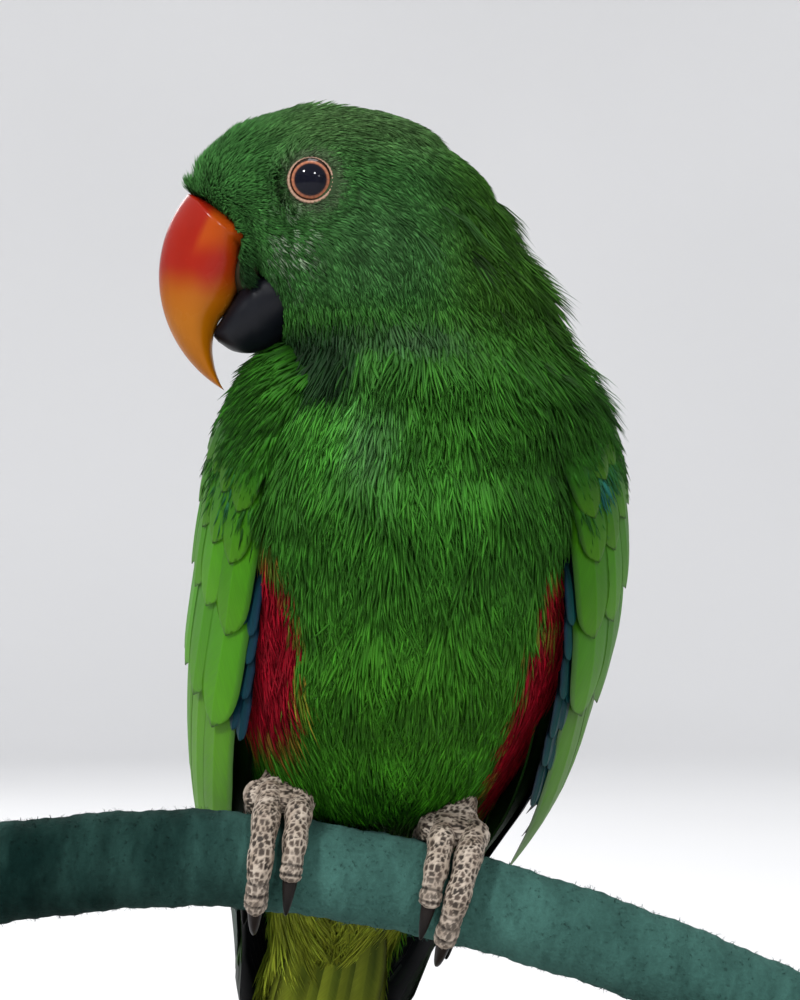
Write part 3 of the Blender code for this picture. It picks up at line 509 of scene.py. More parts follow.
def body_normal(turn, height):
    """The cross product of the surface's two slopes."""
    step = 0.02
    around = body_plain(turn + step, height) - body_plain(turn - step, height)
    above, below = np.minimum(height + step, BODY_HIGH), np.maximum(height - step, BODY_LOW)
    return unit(np.cross(around, body_plain(turn, above) - body_plain(turn, below)))


def eye_centre(side):
    """The eye's middle, sunk below the head's side. side is -1 near the camera and 1 beyond."""
    x, y, half, front, back = BODY(np.array(EYE_HEIGHT))
    depth = front if side < 0 else back
    return np.array([EYE_X, y + side * (depth * math.sqrt(1 - ((EYE_X - x) / half) ** 2) - EYE_SINK), EYE_HEIGHT])


def feather_lie(places, normals):
    """The way feathers point: away from the bill over the head, then down the neck and body and back to the vent."""
    x, _, z = np.moveaxis(places, -1, 0)
    from_bill = unit(places - BILL_FRONT)
    fan = np.stack([0.16 * (x - 3) / 40, 0.05 + 0 * x, -np.ones_like(x)], -1)
    head = smooth(30, 46, z)
    fall = 0.16 + 1.2 * smooth(-22, 14, x) + 1.1 * smooth(60, 42, z)
    flow = fan * (1 - head[:, None] + head[:, None] * fall[:, None]) + from_bill * head[:, None]
    return unit(less(flow, normals))


def blob(x, z, centre, size):
    """A bell-shaped spot: 1 at its centre, and e to the minus squared distance in units of its size."""
    return np.exp(-(((x - centre[0]) / size[0]) ** 2) - ((z - centre[1]) / size[1]) ** 2)


def red_flank(places):
    """How red each place is: the silky flank feathers beside the wings' edges, and what the wings hide."""
    x, _, z = np.moveaxis(places, -1, 0)
    right_edge = -21.8 - 0.0125 * (z + 32) ** 2
    right = smooth(1.6, -1.6, x - right_edge) * smooth(-53, -47, z) * smooth(-9, -15, z)
    left_edge = 29.5 + 0.24 * (z + 27)
    left = smooth(-1.6, 1.6, x - left_edge) * smooth(-68, -62, z) * smooth(-12, -18, z)
    left = left * (1 - np.exp(-(((z + 27) / 2.4) ** 2)) * smooth(36, 32, x))
    return np.clip(right + left, 0, 1)


def plumage(places):
    """The colour of the small feathers at each place of the body. It holds a painted highlight on the front of the
    upper breast, painted shade at the breast's sides and under the cheek feathers, and a throat and mouth corner that
    are partly darker feathers and partly painted shade.
    """
    x, y, z = np.moveaxis(places, -1, 0)
    # Painted highlight: a lighter patch on the front of the upper breast, where the lamps fall on it
    painted_highlight = blob(x, z, (-14, 14), (12, 9)) + 0.35 * blob(x, z, (8, 2), (14, 12))
    colour = layered(
        BELLY_GREEN,
        (BREAST_GREEN, smooth(-45, -10, z)),
        (LOW_GREEN, smooth(-48, -66, z)),
        (LIT_FRONT_GREEN, np.clip(painted_highlight * (y < 0), 0, 1) * 0.85),
    )
    # Painted shade: the upper breast darker at its sides, where it meets the wings
    side_shade = smooth(14, 34, np.abs(x - 2)) * smooth(-12, 0, z) * smooth(36, 26, z)
    # The throat and the mouth's corner: partly darker feathers, partly painted shade below the cheek feathers and in
    # the corner of the mouth
    throat = smooth(17, 25, z) * smooth(38, 31, z) * smooth(-27, -23, x) * smooth(-6, -13, x)
    mouth = smooth(-22, -30, x) * smooth(38, 46, z) * smooth(54, 49, z)
    away = np.hypot(x - EYE_X, z - EYE_HEIGHT)
    ring = np.exp(-(((away - 3.5) / 3.4) ** 2)) * smooth(-8, -24, x + 0.2 * z - 13)
    red = red_flank(places)
    return layered(
        colour * (1 - 0.3 * side_shade)[:, None],
        (THROAT_DARK_AND_SHADE, np.maximum(throat, mouth)),
        # Painted shade under the cheek feathers that overhang the throat
        (THROAT_DARK_AND_SHADE, 0.45 * smooth(26, 31, z) * smooth(38, 33, z) * smooth(22, 8, x)),
        (HEAD_GREEN, smooth(33, 45, z)),
        (CROWN_GREEN, smooth(66, 80, z) * smooth(-36, -14, x)),
        (NAPE_GREEN, smooth(2, 20, x) * smooth(24, 44, z)),
        (GREY_GREEN, blob(x, z, (-6, 12), (5, 9)) * (y < 0) * 0.55),
        (GREY_GREEN, blob(x, z, (2, 31), (12, 4)) * 0.45),
        (GREY_GREEN, 0.28 * blob(x, z, (-6, 54), (11, 10))),
        (EYE_PATCH, ring * 0.8),
        (EYE_PATCH, smooth(7.4, 5.6, away) * 0.5),
        (VENT_OLIVE, smooth(-72, -92, z) * smooth(8, -4, y - BODY(z)[:, 1])),
        (FRINGE, np.clip(4 * red * (1 - red), 0, 1) * 0.85),
        (FLANK_RED, smooth(0.45, 0.8, red)),
    )


def under_wing(places):
    """True where a folded wing lies over the body."""
    along = (places - [0, 0, AXIS_HEIGHT]) @ AXIS
    centre = places[:, 0] - SWING(along)[:, 0]
    out = places @ OUTWARD - AXIS_HEIGHT * OUTWARD[2]
    across = np.degrees(np.arctan2(np.abs(centre), out))
    return (across > 34) & (across < 108) & (along > 0) & (along < 92)


def spread(count, low, high, weight, seed):
    """Turns and heights of roots spread evenly by area times weight.

    Two golden-ratio sequences are read as shares of the area: the first up the body, the second round its row.
    """
    count_z, count_a = 500, 361
    heights = np.linspace(low, high, count_z)
    angles = np.linspace(0, 2 * math.pi, count_a)
    grid_z, grid_a = np.meshgrid(heights, angles, indexing="ij")
    places = body_plain(grid_a, grid_z)
    slopes = np.cross(np.gradient(places, axis=0), np.gradient(places, axis=1))
    area = np.linalg.norm(slopes, axis=-1) * weight(places.reshape(-1, 3)).reshape(grid_z.shape)
    rows = area.sum(1)
    up = np.concatenate([[0], np.cumsum((rows[1:] + rows[:-1]) / 2)])
    k = np.arange(count) + 0.5 + seed
    first, second = (np.modf(k * step)[0] for step in GOLDEN_STEPS)
    z = np.interp(first, up / up[-1], heights)
    row = np.round(np.interp(z, heights, np.arange(count_z))).astype(int)
    along = np.concatenate([np.zeros((count_z, 1)), np.cumsum((area[:, 1:] + area[:, :-1]) / 2, axis=1)], axis=1)
    along = along / np.maximum(along[:, -1:], 1e-9)
    flat = (along + np.arange(count_z)[:, None]).ravel()
    turn = np.interp(second * 0.99999 + row, flat, np.tile(angles, count_z))
    return turn, z


# Tufts of barbs


def tufts(
    name, roots, normals, lies, colours, places, seed, length, width, rise,
    barbs=5, stations=(0.0, 0.55), swell=(0.75, 1.0), bend=0.01, sink=0.7, sway=0.07, glints=0.03,
):
    """One mesh of many small feathers. Each is a fan of barbs, each barb a tapered rod with a ridge.

    A barb runs from its root along the lie, and s is the way along, from 0 to 1. Sideways it is at its place in
    the fan times half the width times 0.3 + 0.7 s^0.8. It rises by rise * s * (2 - s), less the body's curve,
    which is bend times the distance squared. length and rise have a value for each tuft. stations are the places of
    a barb's rings and swell their widths. sway is the barbs' uneven lie, and glints the share of bright ones.
    """
    draw = np.random.default_rng(seed)
    count, fan = len(roots), barbs
    stations = np.array(stations)
    width = np.broadcast_to(width, count)[:, None]
    side = unit(np.cross(normals, lies))
    place = np.linspace(-1, 1, fan) + draw.uniform(-0.6, 0.6, (count, fan)) / fan
    length = length[:, None] * (1 - 0.2 * place**2) * draw.uniform(0.78, 1.12, (count, fan))
    rise = rise[:, None] * draw.uniform(0.4, 1.5, (count, fan))
    sideways = draw.normal(0, sway, (count, fan)) * length
    half = width / fan * draw.uniform(0.42, 0.74, (count, fan))
    s = np.append(stations, 1.0)
    run = length[..., None] * s
    out = rise[..., None] * s * (2 - s) - run**2 * bend - sink * (1 - s)
    wide = width[..., None] / 2 * place[..., None] * (0.3 + 0.7 * s**0.8) + sideways[..., None] * s**2
    centre = (
        roots[:, None, None]
        + lies[:, None, None] * run[..., None]
        + side[:, None, None] * wide[..., None]
        + normals[:, None, None] * out[..., None]
    )
    thick = (half[..., None] * np.array(swell))[..., None]
    across = side[:, None, None] * thick
    ridge = normals[:, None, None] * thick * 0.75
    body = centre[:, :, :-1]
    rings = np.stack([body - across, body + ridge, body + across], axis=3)
    rows = len(stations)
    points = np.concatenate([rings.reshape(count, fan, rows * 3, 3), centre[:, :, -1:]], axis=2)
    each = rows * 3 + 1
    quads = []
    for r in range(rows - 1):
        for a, b in ((0, 1), (1, 2), (2, 0)):
            quads.append([r * 3 + a, r * 3 + b, r * 3 + 3 + b, r * 3 + 3 + a])
    last = (rows - 1) * 3
    tris = [[last, last + 1, each - 1], [last + 1, last + 2, each - 1], [last + 2, last, each - 1], [0, 2, 1]]
    start = (np.arange(count * fan) * each)[:, None, None]
    faces = [(np.array(group)[None] + start).reshape(-1, len(group[0])) for group in (quads, tris) if group]
    tone = draw.uniform(0.72, 1.25, (count, fan)) * draw.uniform(0.86, 1.14, (count, 1))
    tone = tone * (1 + 0.16 * waves(roots, 11, 3) + 0.12 * waves(roots, 4.5, 4))[:, None]
    # A share of barbs is made brighter: painted glints
    painted_highlight = draw.random((count, fan)) < glints
    tone = np.where(painted_highlight, tone * 1.35, tone)
    # Barbs run from dark at the root to light at the tip: partly the feathers' darker bases, partly painted shade in
    # the gaps where they lie under others
    shade = np.append(np.repeat(0.36 + 0.70 * stations**0.75, 3), 1.1)
    hue = draw.normal(0, 0.05, (count, fan, 1, 1)) * np.array([1.0, 0.2, 0.6])
    tint = colours[:, None, None] * (1 + hue) * (tone[..., None] * shade)[..., None]
    span = np.append(np.repeat(stations, 3), 1.0)
    patch = np.stack(np.broadcast_arrays(place[..., None] * 0.0013, (span - 0.5) * 0.0026), -1)
    patches = places[:, None, None] + patch
    return put_mesh(name, points, faces, tint, patches)


# Vanes of the wings and tail


class WingSheet:
    """The outer surface of a folded wing: across is the angle from the back's middle line round to the breast."""

    def __init__(self, side):
        self.side = side

    def point(self, along, across, lift):
        """An ellipse around the middle line, grown by the lift, which turns to a push backwards at the tip."""
        half, back, front, shift = np.moveaxis(SHELL(along), -1, 0)
        flat = np.clip((along - WING_FLATTENS[0]) / (WING_FLATTENS[1] - WING_FLATTENS[0]), 0, 1)
        grown = lift * (1 - flat)
        depth = np.where(np.cos(across) > 0, back, front) + grown
        sideways = self.side * (half + grown) * np.sin(across)
        outward = depth * np.cos(across) + shift + lift * flat
        return axis_point(along) + ACROSS * sideways[..., None] + OUTWARD * outward[..., None]

    def per_mm(self, along, across):
        """The turn that one millimetre of the ellipse's edge takes."""
        half, back, front, _ = np.moveaxis(SHELL(along), -1, 0)
        depth = np.where(np.cos(across) > 0, back, front)
        return 1.0 / np.hypot(half * np.cos(across), depth * np.sin(across))

    def patch(self, along, across):
        """Places on the unrolled wing, with the other wing in the upper half of the map."""
        return np.stack([(along + 25) / 290, 0.02 + across / math.pi * 0.45 + (0.5 if self.side > 0 else 0)], -1)


class TailSheet:
    """A shallow roof under the wing tips: across is the distance from the tail's middle line."""

    side = 1

    def point(self, along, across, lift):
        """A roof that falls with the square of the distance across."""
        rise = -3.0 - 0.01 * across**2 + lift
        return axis_point(along) + ACROSS * across[..., None] + OUTWARD * rise[..., None]

    def per_mm(self, along, across):
        """The distance across needs no conversion."""
        return np.ones(np.broadcast(along, across).shape)

    def patch(self, along, across):
        """Places on the flattened tail."""
        return np.stack([(along - 110) / 160, 0.5 + across / 60], -1)


def axis_point(along):
    """The middle line of wings and tail: the slanted axis, swung sideways by a curve."""
    along = np.asarray(along, float)
    return SWING(along)[..., :1] * ACROSS + along[..., None] * AXIS + np.array([0.0, 0.0, AXIS_HEIGHT])


def covert_shape(s):
    """Widths of a feather with a round end."""
    return (0.45 + 0.55 * smooth(0, 0.45, s)) * np.sqrt(1 - ((s - 0.72) / 0.283).clip(0, 1) ** 2)


def flight_shape(s):
    """Widths of a long feather whose end narrows to a blunt point."""
    return (0.5 + 0.5 * smooth(0, 0.3, s)) * (1 - ((s - 0.6) / 0.402).clip(0, 1) ** 2.2) ** 0.8


def square_shape(s):
    """Widths of a tail feather with an almost square end."""
    return (0.5 + 0.5 * smooth(0, 0.6, s)) * np.sqrt(1 - ((s - 0.93) / 0.0705).clip(0, 1) ** 2)


COLUMNS = np.array([-1.0, -0.72, -0.38, -0.06, 0.0, 0.06, 0.38, 0.72, 1.0])


def vanes(sheet, tier, seed):
    """Arrays of closed thin feathers on a sheet: points, faces, colours, patches and the feathers' own UV map.

    A feather's width follows its shape, its camber is 1 minus the column squared, and its shaft stands proud.
    Its edge is notched by noise, its lift runs from the first to the second value with the 0.6th power of the way.
    """
    draw = np.random.default_rng(seed)
    count, rows = len(tier["root"]), tier.get("rows", 12)
    s = np.sin(np.linspace(0, math.pi / 2, rows)) ** 0.9
    wide = tier["shape"](s)
    c = COLUMNS
    length = tier["tip"][:, 0] - tier["root"][:, 0]
    middle = tier["root"][:, None] + (tier["tip"] - tier["root"])[:, None] * s[:, None]
    along, across = middle[..., 0], middle[..., 1]
    notch = draw.normal(0, tier.get("ragged", 0.02), (count, rows, len(c))) * np.abs(c) ** 3 * wide[:, None]
    reach = tier["width"][:, None, None] / 2 * (wide[:, None] * c + notch * np.sign(c))
    ends = -np.abs(c) ** 2.2 * tier["width"].mean() * tier.get("round", 0.1)
    full_along = along[..., None] + ends * (s**3)[:, None]
    full_across = across[..., None] + reach * sheet.per_mm(along, across)[..., None]
    lift = tier["lift"][:, :1] + (tier["lift"][:, 1:] - tier["lift"][:, :1]) * s**0.6
    camber = tier.get("camber", 0.6) * (1 - c**2) * wide[:, None]
    shaft = 0.16 * (np.abs(c) < 0.03) * (1 - 0.7 * s)[:, None]
    roll = tier.get("roll", 0.0) * c * wide[:, None] * np.minimum(1, 2 * s)[:, None]
    level = lift[..., None] + camber + shaft - roll + draw.normal(0, 0.05, (count, 1, 1))
    top = sheet.point(full_along, full_across, level)
    thick = tier.get("thick", 0.3) * (1 - 0.6 * s)[:, None] * (1 - 0.55 * np.abs(c))
    low = sheet.point(full_along, full_across, level - thick)
    points = np.stack([top, low], 1)
    faces = plate_faces(rows, len(c))
    if sheet.side < 0:
        faces = faces[:, ::-1]
    faces = (faces[None] + (np.arange(count) * 2 * rows * len(c))[:, None, None]).reshape(-1, 4)
    colour = tier["colour"](s[None, :, None], c[None, None, :], count)
    tone = 1 + tier.get("uneven", 0.1) * draw.uniform(-1, 1, (count, 1, 1))
    colour = colour * tone[..., None]
    under = lerp(colour, tier.get("under", FLIGHT_DARK), tier.get("veil", 0.75))
    colours = np.stack([colour, under], 1)
    mid = sheet.patch(along[:, rows // 2], across[:, rows // 2])
    patch = np.stack(np.broadcast_arrays(c[None, :] * 0.0014, (s[:, None] - 0.5) * 0.003), -1)
    patches = np.broadcast_to(mid[:, None, None, None] + patch, points.shape[:-1] + (2,))
    own = np.stack(np.broadcast_arrays(reach, (length[:, None] * s)[..., None]), -1)
    own = np.stack([own, own], 1)
    return points.reshape(-1, 3), [faces], colours.reshape(-1, 3), patches.reshape(-1, 2), own.reshape(-1, 2)


def joined(name, parts):
    """One object from several, each given as points, groups of faces, and what put_mesh takes for each point."""
    starts = np.cumsum([0] + [len(part[0]) for part in parts])
    groups = zip(*([group + start for group in part[1]] for part, start in zip(parts, starts)))
    faces = [np.concatenate(group) for group in groups]
    points, *rest = (np.concatenate([part[k] for part in parts]) for k in range(len(parts[0])) if k != 1)
    return put_mesh(name, points, faces, *rest)


def row_of(draw, count, along, turns, reach, width, lift, slip=0.0):
    """Roots and tips of a row of feathers: along and reach in millimetres, turns in degrees from back to breast."""
    share = np.linspace(0, 1, count)
    turn = np.radians(turns[0] + (turns[1] - turns[0]) * share)
    tip_turn = np.radians(turns[2] + (turns[3] - turns[2]) * share)
    wobble = draw.uniform(-1, 1, count)
    root = np.stack([along + slip * share + 0.8 * wobble, turn], -1)
    tip = np.stack([along + reach + slip * share + 1.4 * np.roll(wobble, 1), tip_turn], -1)
    lifts = np.tile(np.array(lift, float), (count, 1)) + 0.12 * wobble[:, None]
    return {"root": root, "tip": tip, "width": np.full(count, float(width)), "lift": lifts}


def painted(base, edge, tip, over=None, deep=0.5):
    """A colouring for vanes: dark where the next row lies over it, then the base, with its own edge and tip.

    over is one more tint and a function of the way along and across that gives its share.
    """

    def colour(s, c, count):
        shape = np.broadcast_shapes(s.shape, c.shape, (count, 1, 1))
        made = lerp(np.broadcast_to(base, shape + (3,)), edge, np.broadcast_to(np.abs(c) ** 2.5 * 0.8, shape))
        made = lerp(made, tip, np.broadcast_to(smooth(0.55, 1.0, s), shape) * 0.7)
        rim = np.maximum(smooth(0.965, 0.99, s), smooth(0.80, 0.98, np.abs(c)) * 0.7)
        made = made * (1 - 0.7 * np.broadcast_to(rim, shape))[..., None]
        if over is not None:
            tint, cover = over
            made = lerp(made, tint, np.broadcast_to(cover(s, c), shape))
        return made * (deep + (1 - deep) * smooth(0.0, 0.5, s))[..., None]

    return colour


def shaded(count, back, breast):
    """A colour for each feather of a row, from the back's to the breast's."""
    return lerp(back, breast, smooth(0.35, 0.85, np.linspace(0, 1, count)))[:, None, None, :]


WING_FRESH, WING_GOLD = lerp(WING_DEEP, WING_LIME, 0.45), lerp(WING_LIME, WING_YELLOW, 0.35)


# Materials


def feather_paint(name, rough=0.5):
    """Small feathers: the mesh's own tints, made uneven by a broad and a fine noise."""
    paint = Paint(name, roughness=rough, specular_ior_level=0.07)
    blotch = paint.noise(120.0, 3.0)
    fine = paint.noise(900.0, 2.0)
    paint.colour(paint.scaled(paint.tint(), 0.72 + 0.36 * blotch + 0.22 * fine))
    paint.rough(rough - 0.08 + 0.2 * fine)
    return paint


def vane_paint(name, rough):
    """Smooth vanes: tints, barbs that slant away from the shaft, and a satin gloss along them."""
    paint = Paint(name, roughness=rough, specular_ior_level=0.06)
    tint = paint.tint()
    own = {"Vector": paint.node("ShaderNodeUVMap", {"uv_map": "feather"})}
    x, y = (paint.node("ShaderNodeSeparateXYZ", None, own, k) for k in (0, 1))
    out = x.math("ABSOLUTE", x)
    slant = y - out * 1.35
    line = paint.node("ShaderNodeCombineXYZ", None, {0: slant, 1: out * 0.16, 2: 0.0})
    barbs = paint.noise(1.9, 2.0, line)
    broad = paint.noise(0.5, 2.0, line)
    shaft = (out / 0.32).between(1.0, 0.5)
    tone = 0.62 + 0.5 * barbs + 0.26 * broad
    colour = paint.scaled(tint, tone)
    paint.colour(paint.mix(shaft * 0.3, colour, paint.scaled(tint, 1.4)))
    paint.rough(rough - 0.1 + 0.25 * barbs)
    paint.bump(barbs * 0.7 + broad * 0.3, 0.00012, 0.35)
    return paint


def grained(name, scale, detail, low, gain, bump=None, **even):
    """The mesh's own tints times low plus gain times a noise. bump is the noise's height in metres and strength."""
    paint = Paint(name, **even)
    noise = paint.noise(scale, detail)
    paint.colour(paint.scaled(paint.tint(), low + gain * noise))
    if bump:
        paint.bump(noise, *bump)
    return paint


def skin_paint():
    """Bare skin under the plumage, uneven and matt."""
    return grained("plumage_skin", 300.0, 4.0, 0.6, 0.8, (0.0004, 0.5), roughness=0.75, specular_ior_level=0.1)


# Properties


class ParrotSettings(bpy.types.PropertyGroup):
    """Sizes and counts that a user would change."""

    head_tufts: bpy.props.IntProperty(
        name="Head feathers", description="Small feathers on the head and neck", default=7200, min=500, max=9000
    )
    body_tufts: bpy.props.IntProperty(
        name="Body feathers", description="Small feathers on the breast, belly and back", default=5600, min=500
    )
    head_depth: bpy.props.FloatProperty(
        name="Head coat", description="Depth of the head's coat", default=0.0009, unit="LENGTH"
    )
    body_depth: bpy.props.FloatProperty(
        name="Body coat", description="Depth of the body's coat", default=0.0016, unit="LENGTH"
    )
    bill_red: bpy.props.FloatVectorProperty(
        name="Bill", description="Colour of the upper bill's root", default=(0.225, 0.009, 0.003), subtype="COLOR"
    )
    bill_yellow: bpy.props.FloatVectorProperty(
        name="Bill tip", description="Colour of the upper bill's tip", default=(0.285, 0.088, 0.001), subtype="COLOR"
    )
    cloth: bpy.props.FloatVectorProperty(
        name="Cloth", description="Colour of the perch's fleece", default=(0.020, 0.092, 0.078), subtype="COLOR"
    )


def coat_depth(height):
    """Depth of the coat in millimetres: thin on the head, deeper on the body."""
    own = bpy.context.scene.parrot
    return (own.body_depth + (own.head_depth - own.body_depth) * smooth(30, 46, height)) / MM


def body_patch(turn, height):
    """Places on the unrolled body: the turn across and the height upwards, each with a margin."""
    return np.stack([0.02 + 0.96 * (turn % (2 * math.pi)) / (2 * math.pi), 0.02 + 0.96 * (height + 136) / 221], -1)


# Operators


class PARROT_OT_skin(bpy.types.Operator):
    """Make the one skin of head, neck and body that the small feathers grow from"""

    bl_idname = "parrot.skin"
    bl_label = "Skin"

    def execute(self, context):
        """Level ellipses, moved in by the coat's depth and set closer together towards crown and vent."""
        rows, columns = 150, 96
        share = np.linspace(0, 1, rows)
        swell = 0.45 * (2 * share - 1) - 0.55 * np.cos(math.pi * share)
        height = (BODY_LOW + BODY_HIGH) / 2 + (BODY_HIGH - BODY_LOW) / 2 * swell
        grid_z, grid_a = np.meshgrid(height, circle(columns), indexing="ij")
        inset = coat_depth(grid_z) * smooth(BODY_LOW, -120, grid_z)
        rings = body_point(grid_a, grid_z, inset)
        points, faces = tube(rings, VENT_TIP, CROWN_TOP)
        # The skin shows only in the gaps between feathers, so it is the plumage's colour darkened: painted shade
        colours = plumage(points) * 0.3 + np.array(SKIN_DARK) * 0.4
        patches = np.concatenate([body_patch(grid_a, grid_z).reshape(-1, 2), [[0.5, 0.01], [0.5, 0.99]]])
        made = put_mesh("skin", points, facing_out(points, faces), colours, patches)
        dress(made, skin_paint(), "green_plumage", "torso", "neck", "head")
        return {"FINISHED"}


class PARROT_OT_coat(bpy.types.Operator):
    """Cover the head, neck and body with small feathers"""

    bl_idname = "parrot.coat"
    bl_label = "Small feathers"

    def execute(self, context):
        own = context.scene.parrot
        self.paint = feather_paint("plumage_barbs")

        def head_weight(places):
            return smooth(30, 40, places[:, 2]) * (1 + 0.8 * smooth(6, -36, places[:, 0]))

        def body_weight(places):
            hidden = np.where(under_wing(places), 0.12, 1.0)
            return hidden * smooth(40, 32, places[:, 2]) * smooth(-134, -126, places[:, 2])

        for k, name in enumerate(("coat_face", "coat_crown", "coat_nape")):
            self.patch_of(name, own.head_tufts // 3, 30, 83.3, head_weight, 1 + 30011 * k)
        for k, name in enumerate(("coat_breast", "coat_belly", "coat_flanks", "coat_back")):
            self.patch_of(name, own.body_tufts // 4, -133, 40, body_weight, 7 + 20011 * k)
        self.collar()
        self.bristles()
        self.lashes()
        return {"FINISHED"}

    def patch_of(self, name, count, low, high, weight, seed):
        """One piece of coat. Its feathers are longest on the body and nape, and shortest on the face."""
        turn, z = spread(count, low, high, weight, seed)
        draw = np.random.default_rng(seed)
        roots, normals, places = self.rooted(turn, z)
        x = places[:, 0]
        lies = feather_lie(places, normals)
        head = smooth(30, 44, z)
        face = smooth(4, -34, x) * head
        lies, away = self.round_the_eyes(places, lies)
        side = np.cross(normals, lies)
        sway = 0.20 * waves(places, 16, 1) * (1 - 0.6 * face) + draw.normal(0, 0.09, len(z))
        lies = unit(lies + side * sway[:, None])
        red = red_flank(places)
        nape = head * smooth(8, 24, x) * smooth(74, 52, z)
        bib = smooth(27, 33, z) * smooth(43, 37, z) * smooth(16, 2, x)
        brow = smooth(64, 74, z) * smooth(-34, -40, x)
        length = 13.5 - 7.0 * head - 2.3 * face + 4.5 * smooth(0.3, 0.9, red) + 3.2 * nape + 1.5 * bib
        length = length * np.where(away < 9.5, 0.6, 1.0) * draw.uniform(0.85, 1.15, len(z))
        width = 5.0 - 2.5 * head - 0.5 * face
        rise = 1.0 - 0.32 * head + 1.0 * nape + 0.9 * bib + 0.5 * brow
        parts = (roots, normals, lies, places, turn, z, length, width, rise, 0.004 + 0.009 * head)
        roots, normals, lies, places, turn, z, length, width, rise, bend = (v[away > BARE_REACH] for v in parts)
        tints = plumage(places + lies * (0.5 * length)[:, None])
        # Pale streaks on a share of the cheek's barbs: painted glints
        pale = blob(places[:, 0], z, (-24, 53), (4.5, 7)) * (draw.random(len(z)) < 0.25)
        tints = lerp(tints, GLINT_BARBS, pale * 0.7)
        fine = {"barbs": 6} if low > 0 else {"barbs": 7, "stations": (0.0, 0.4, 0.76), "swell": (0.7, 1.0, 0.62)}
        self.cover(
            name, roots, normals, lies, tints, body_patch(turn, z), seed, length, width, rise,
            bend=bend[:, None, None], glints=0.04, **fine,
        )

    def cover(self, *arrays, **how):
        """Adds one piece of tufts to the plumage."""
        dress(tufts(*arrays, **how), self.paint, "green_plumage")

    def rooted(self, turn, z, share=1.0):
        """Roots that share of the coat's depth below the body's surface, normals, and the places above them."""
        return body_point(turn, z, coat_depth(z) * share), body_normal(turn, z), body_plain(turn, z)

    def round_the_eyes(self, places, lies):
        """Turns the lie of nearby feathers aside where they would grow over an eye."""
        nearest = np.full(len(places), 99.0)
        for side, _ in SIDES:
            radial = places - eye_centre(side)
            away = np.linalg.norm(radial, axis=-1)
            radial = radial / away[:, None]
            inward = np.minimum(0, (lies * radial).sum(-1)) * smooth(12, 8, away) * 1.25
            lies = unit(lies - radial * inward[:, None])
            nearest = np.minimum(nearest, away)
        return lies, nearest

    def lashes(self):
        """Tiny feathers that ring each eye and lean outwards and back."""
        draw = np.random.default_rng(41)
        count = 520
        for side, word in SIDES:
            centre = eye_centre(side)
            around = draw.uniform(0, 2 * math.pi, count)
            reach = draw.uniform(5.0, 8.2, count)
            x, z = centre[0] + reach * np.cos(around), centre[2] + reach * np.sin(around)
            middle, _, half, *_ = np.moveaxis(BODY(z), -1, 0)
            turn = side * np.arccos(np.clip((x - middle) / half, -1, 1))
            roots, normals, places = self.rooted(turn, z, 0.9)
            radial = unit(places - centre)
            lies = unit(feather_lie(places, normals) * 0.75 + radial * (0.9 - 0.06 * reach)[:, None])
            lies = unit(less(lies, normals))
            length, rise = draw.uniform(1.6, 3.0, count), draw.uniform(0.25, 0.6, count)
            tints = plumage(places) * draw.uniform(0.7, 1.15, (count, 1))
            self.cover(
                "coat_eye_" + word, roots, normals, lies, tints, body_patch(turn, z), 42, length, 1.1, rise,
                barbs=4, swell=(0.8, 1.0), sink=0.4,
            )

    def collar(self):
        """Short feathers that close over the root of the bill, on its top and down both sides."""
        draw = np.random.default_rng(21)
        count = 900
        turn = draw.uniform(0, 1.22, count) ** 1.2
        side = np.where(draw.random(count) < 0.5, -1, 1)
        z = 66.0 - 15.6 * turn
        x = CULMEN_ROOT[0] + 11.0 * np.minimum(1, 1.55 * turn) ** 0.75 + draw.uniform(-0.3, 1.8, count)
        y = HEAD_PLANE_Y + side * np.minimum(9.2, 15.0 * turn**0.62 + 0.2) * draw.uniform(0.86, 1.02, count)
        top = np.arange(count) < 230
        share = draw.random(count)
        turn = np.where(top, 0.1 * share, turn)
        x = np.where(top, CULMEN_ROOT[0] + 4.0 * share, x)
        y = np.where(top, HEAD_PLANE_Y + side * draw.uniform(0, 1, count) * (0.6 + 5.4 * share**0.7), y)
        z = np.where(top, 65.2 - 1.7 * share + draw.uniform(-0.6, 1.2, count), z)
        roots = np.stack([x, y, z], -1)
        normals = unit(roots - HEAD_MIDDLE)
        lies = unit(np.stack([-0.1 + 2.2 * turn, 0.25 * side, 1.1 - 1.9 * turn], -1))
        lies = unit(less(lies, normals, np.where(top, 0.15, 0.8)[:, None]))
        length, rise = draw.uniform(2.4, 4.2, count) * np.where(top, 0.85, 1), draw.uniform(0.6, 1.5, count)
        # Darker down the bill's sides towards the corner of the mouth: painted shade
        tints = lerp(HEAD_GREEN, THROAT_DARK_AND_SHADE, smooth(0.4, 1.0, turn) * 0.6 + smooth(0.95, 1.15, turn) * 0.35)
        patches = np.stack([0.5 + side * 0.01, 0.85 + 0.001 * z], -1)
        self.cover("coat_collar", roots, normals, lies, tints, patches, 22, length, 1.6, rise)

    def bristles(self):
        """Loose long feathers that stand off the nape and the neck's edge."""
        draw = np.random.default_rng(31)
        count = 330
        z = draw.uniform(24, 66, count)
        turn = draw.normal(-0.02, 0.34, count)
        roots, normals, places = self.rooted(turn, z)
        lies = unit(feather_lie(places, normals) + normals * 0.16 + draw.normal(0, 0.07, (count, 3)))
        length, rise = draw.uniform(9, 15, count), draw.uniform(0.6, 2.2, count)
        tints = plumage(places) * draw.uniform(0.4, 1.0, (count, 1))
        self.cover(
            "coat_loose", roots, normals, lies, tints, body_patch(turn, z), 32, length, 2.6, rise,
            stations=(0.0, 0.4, 0.76), swell=(0.7, 1.0, 0.5), bend=0.002, sway=0.1,
        )


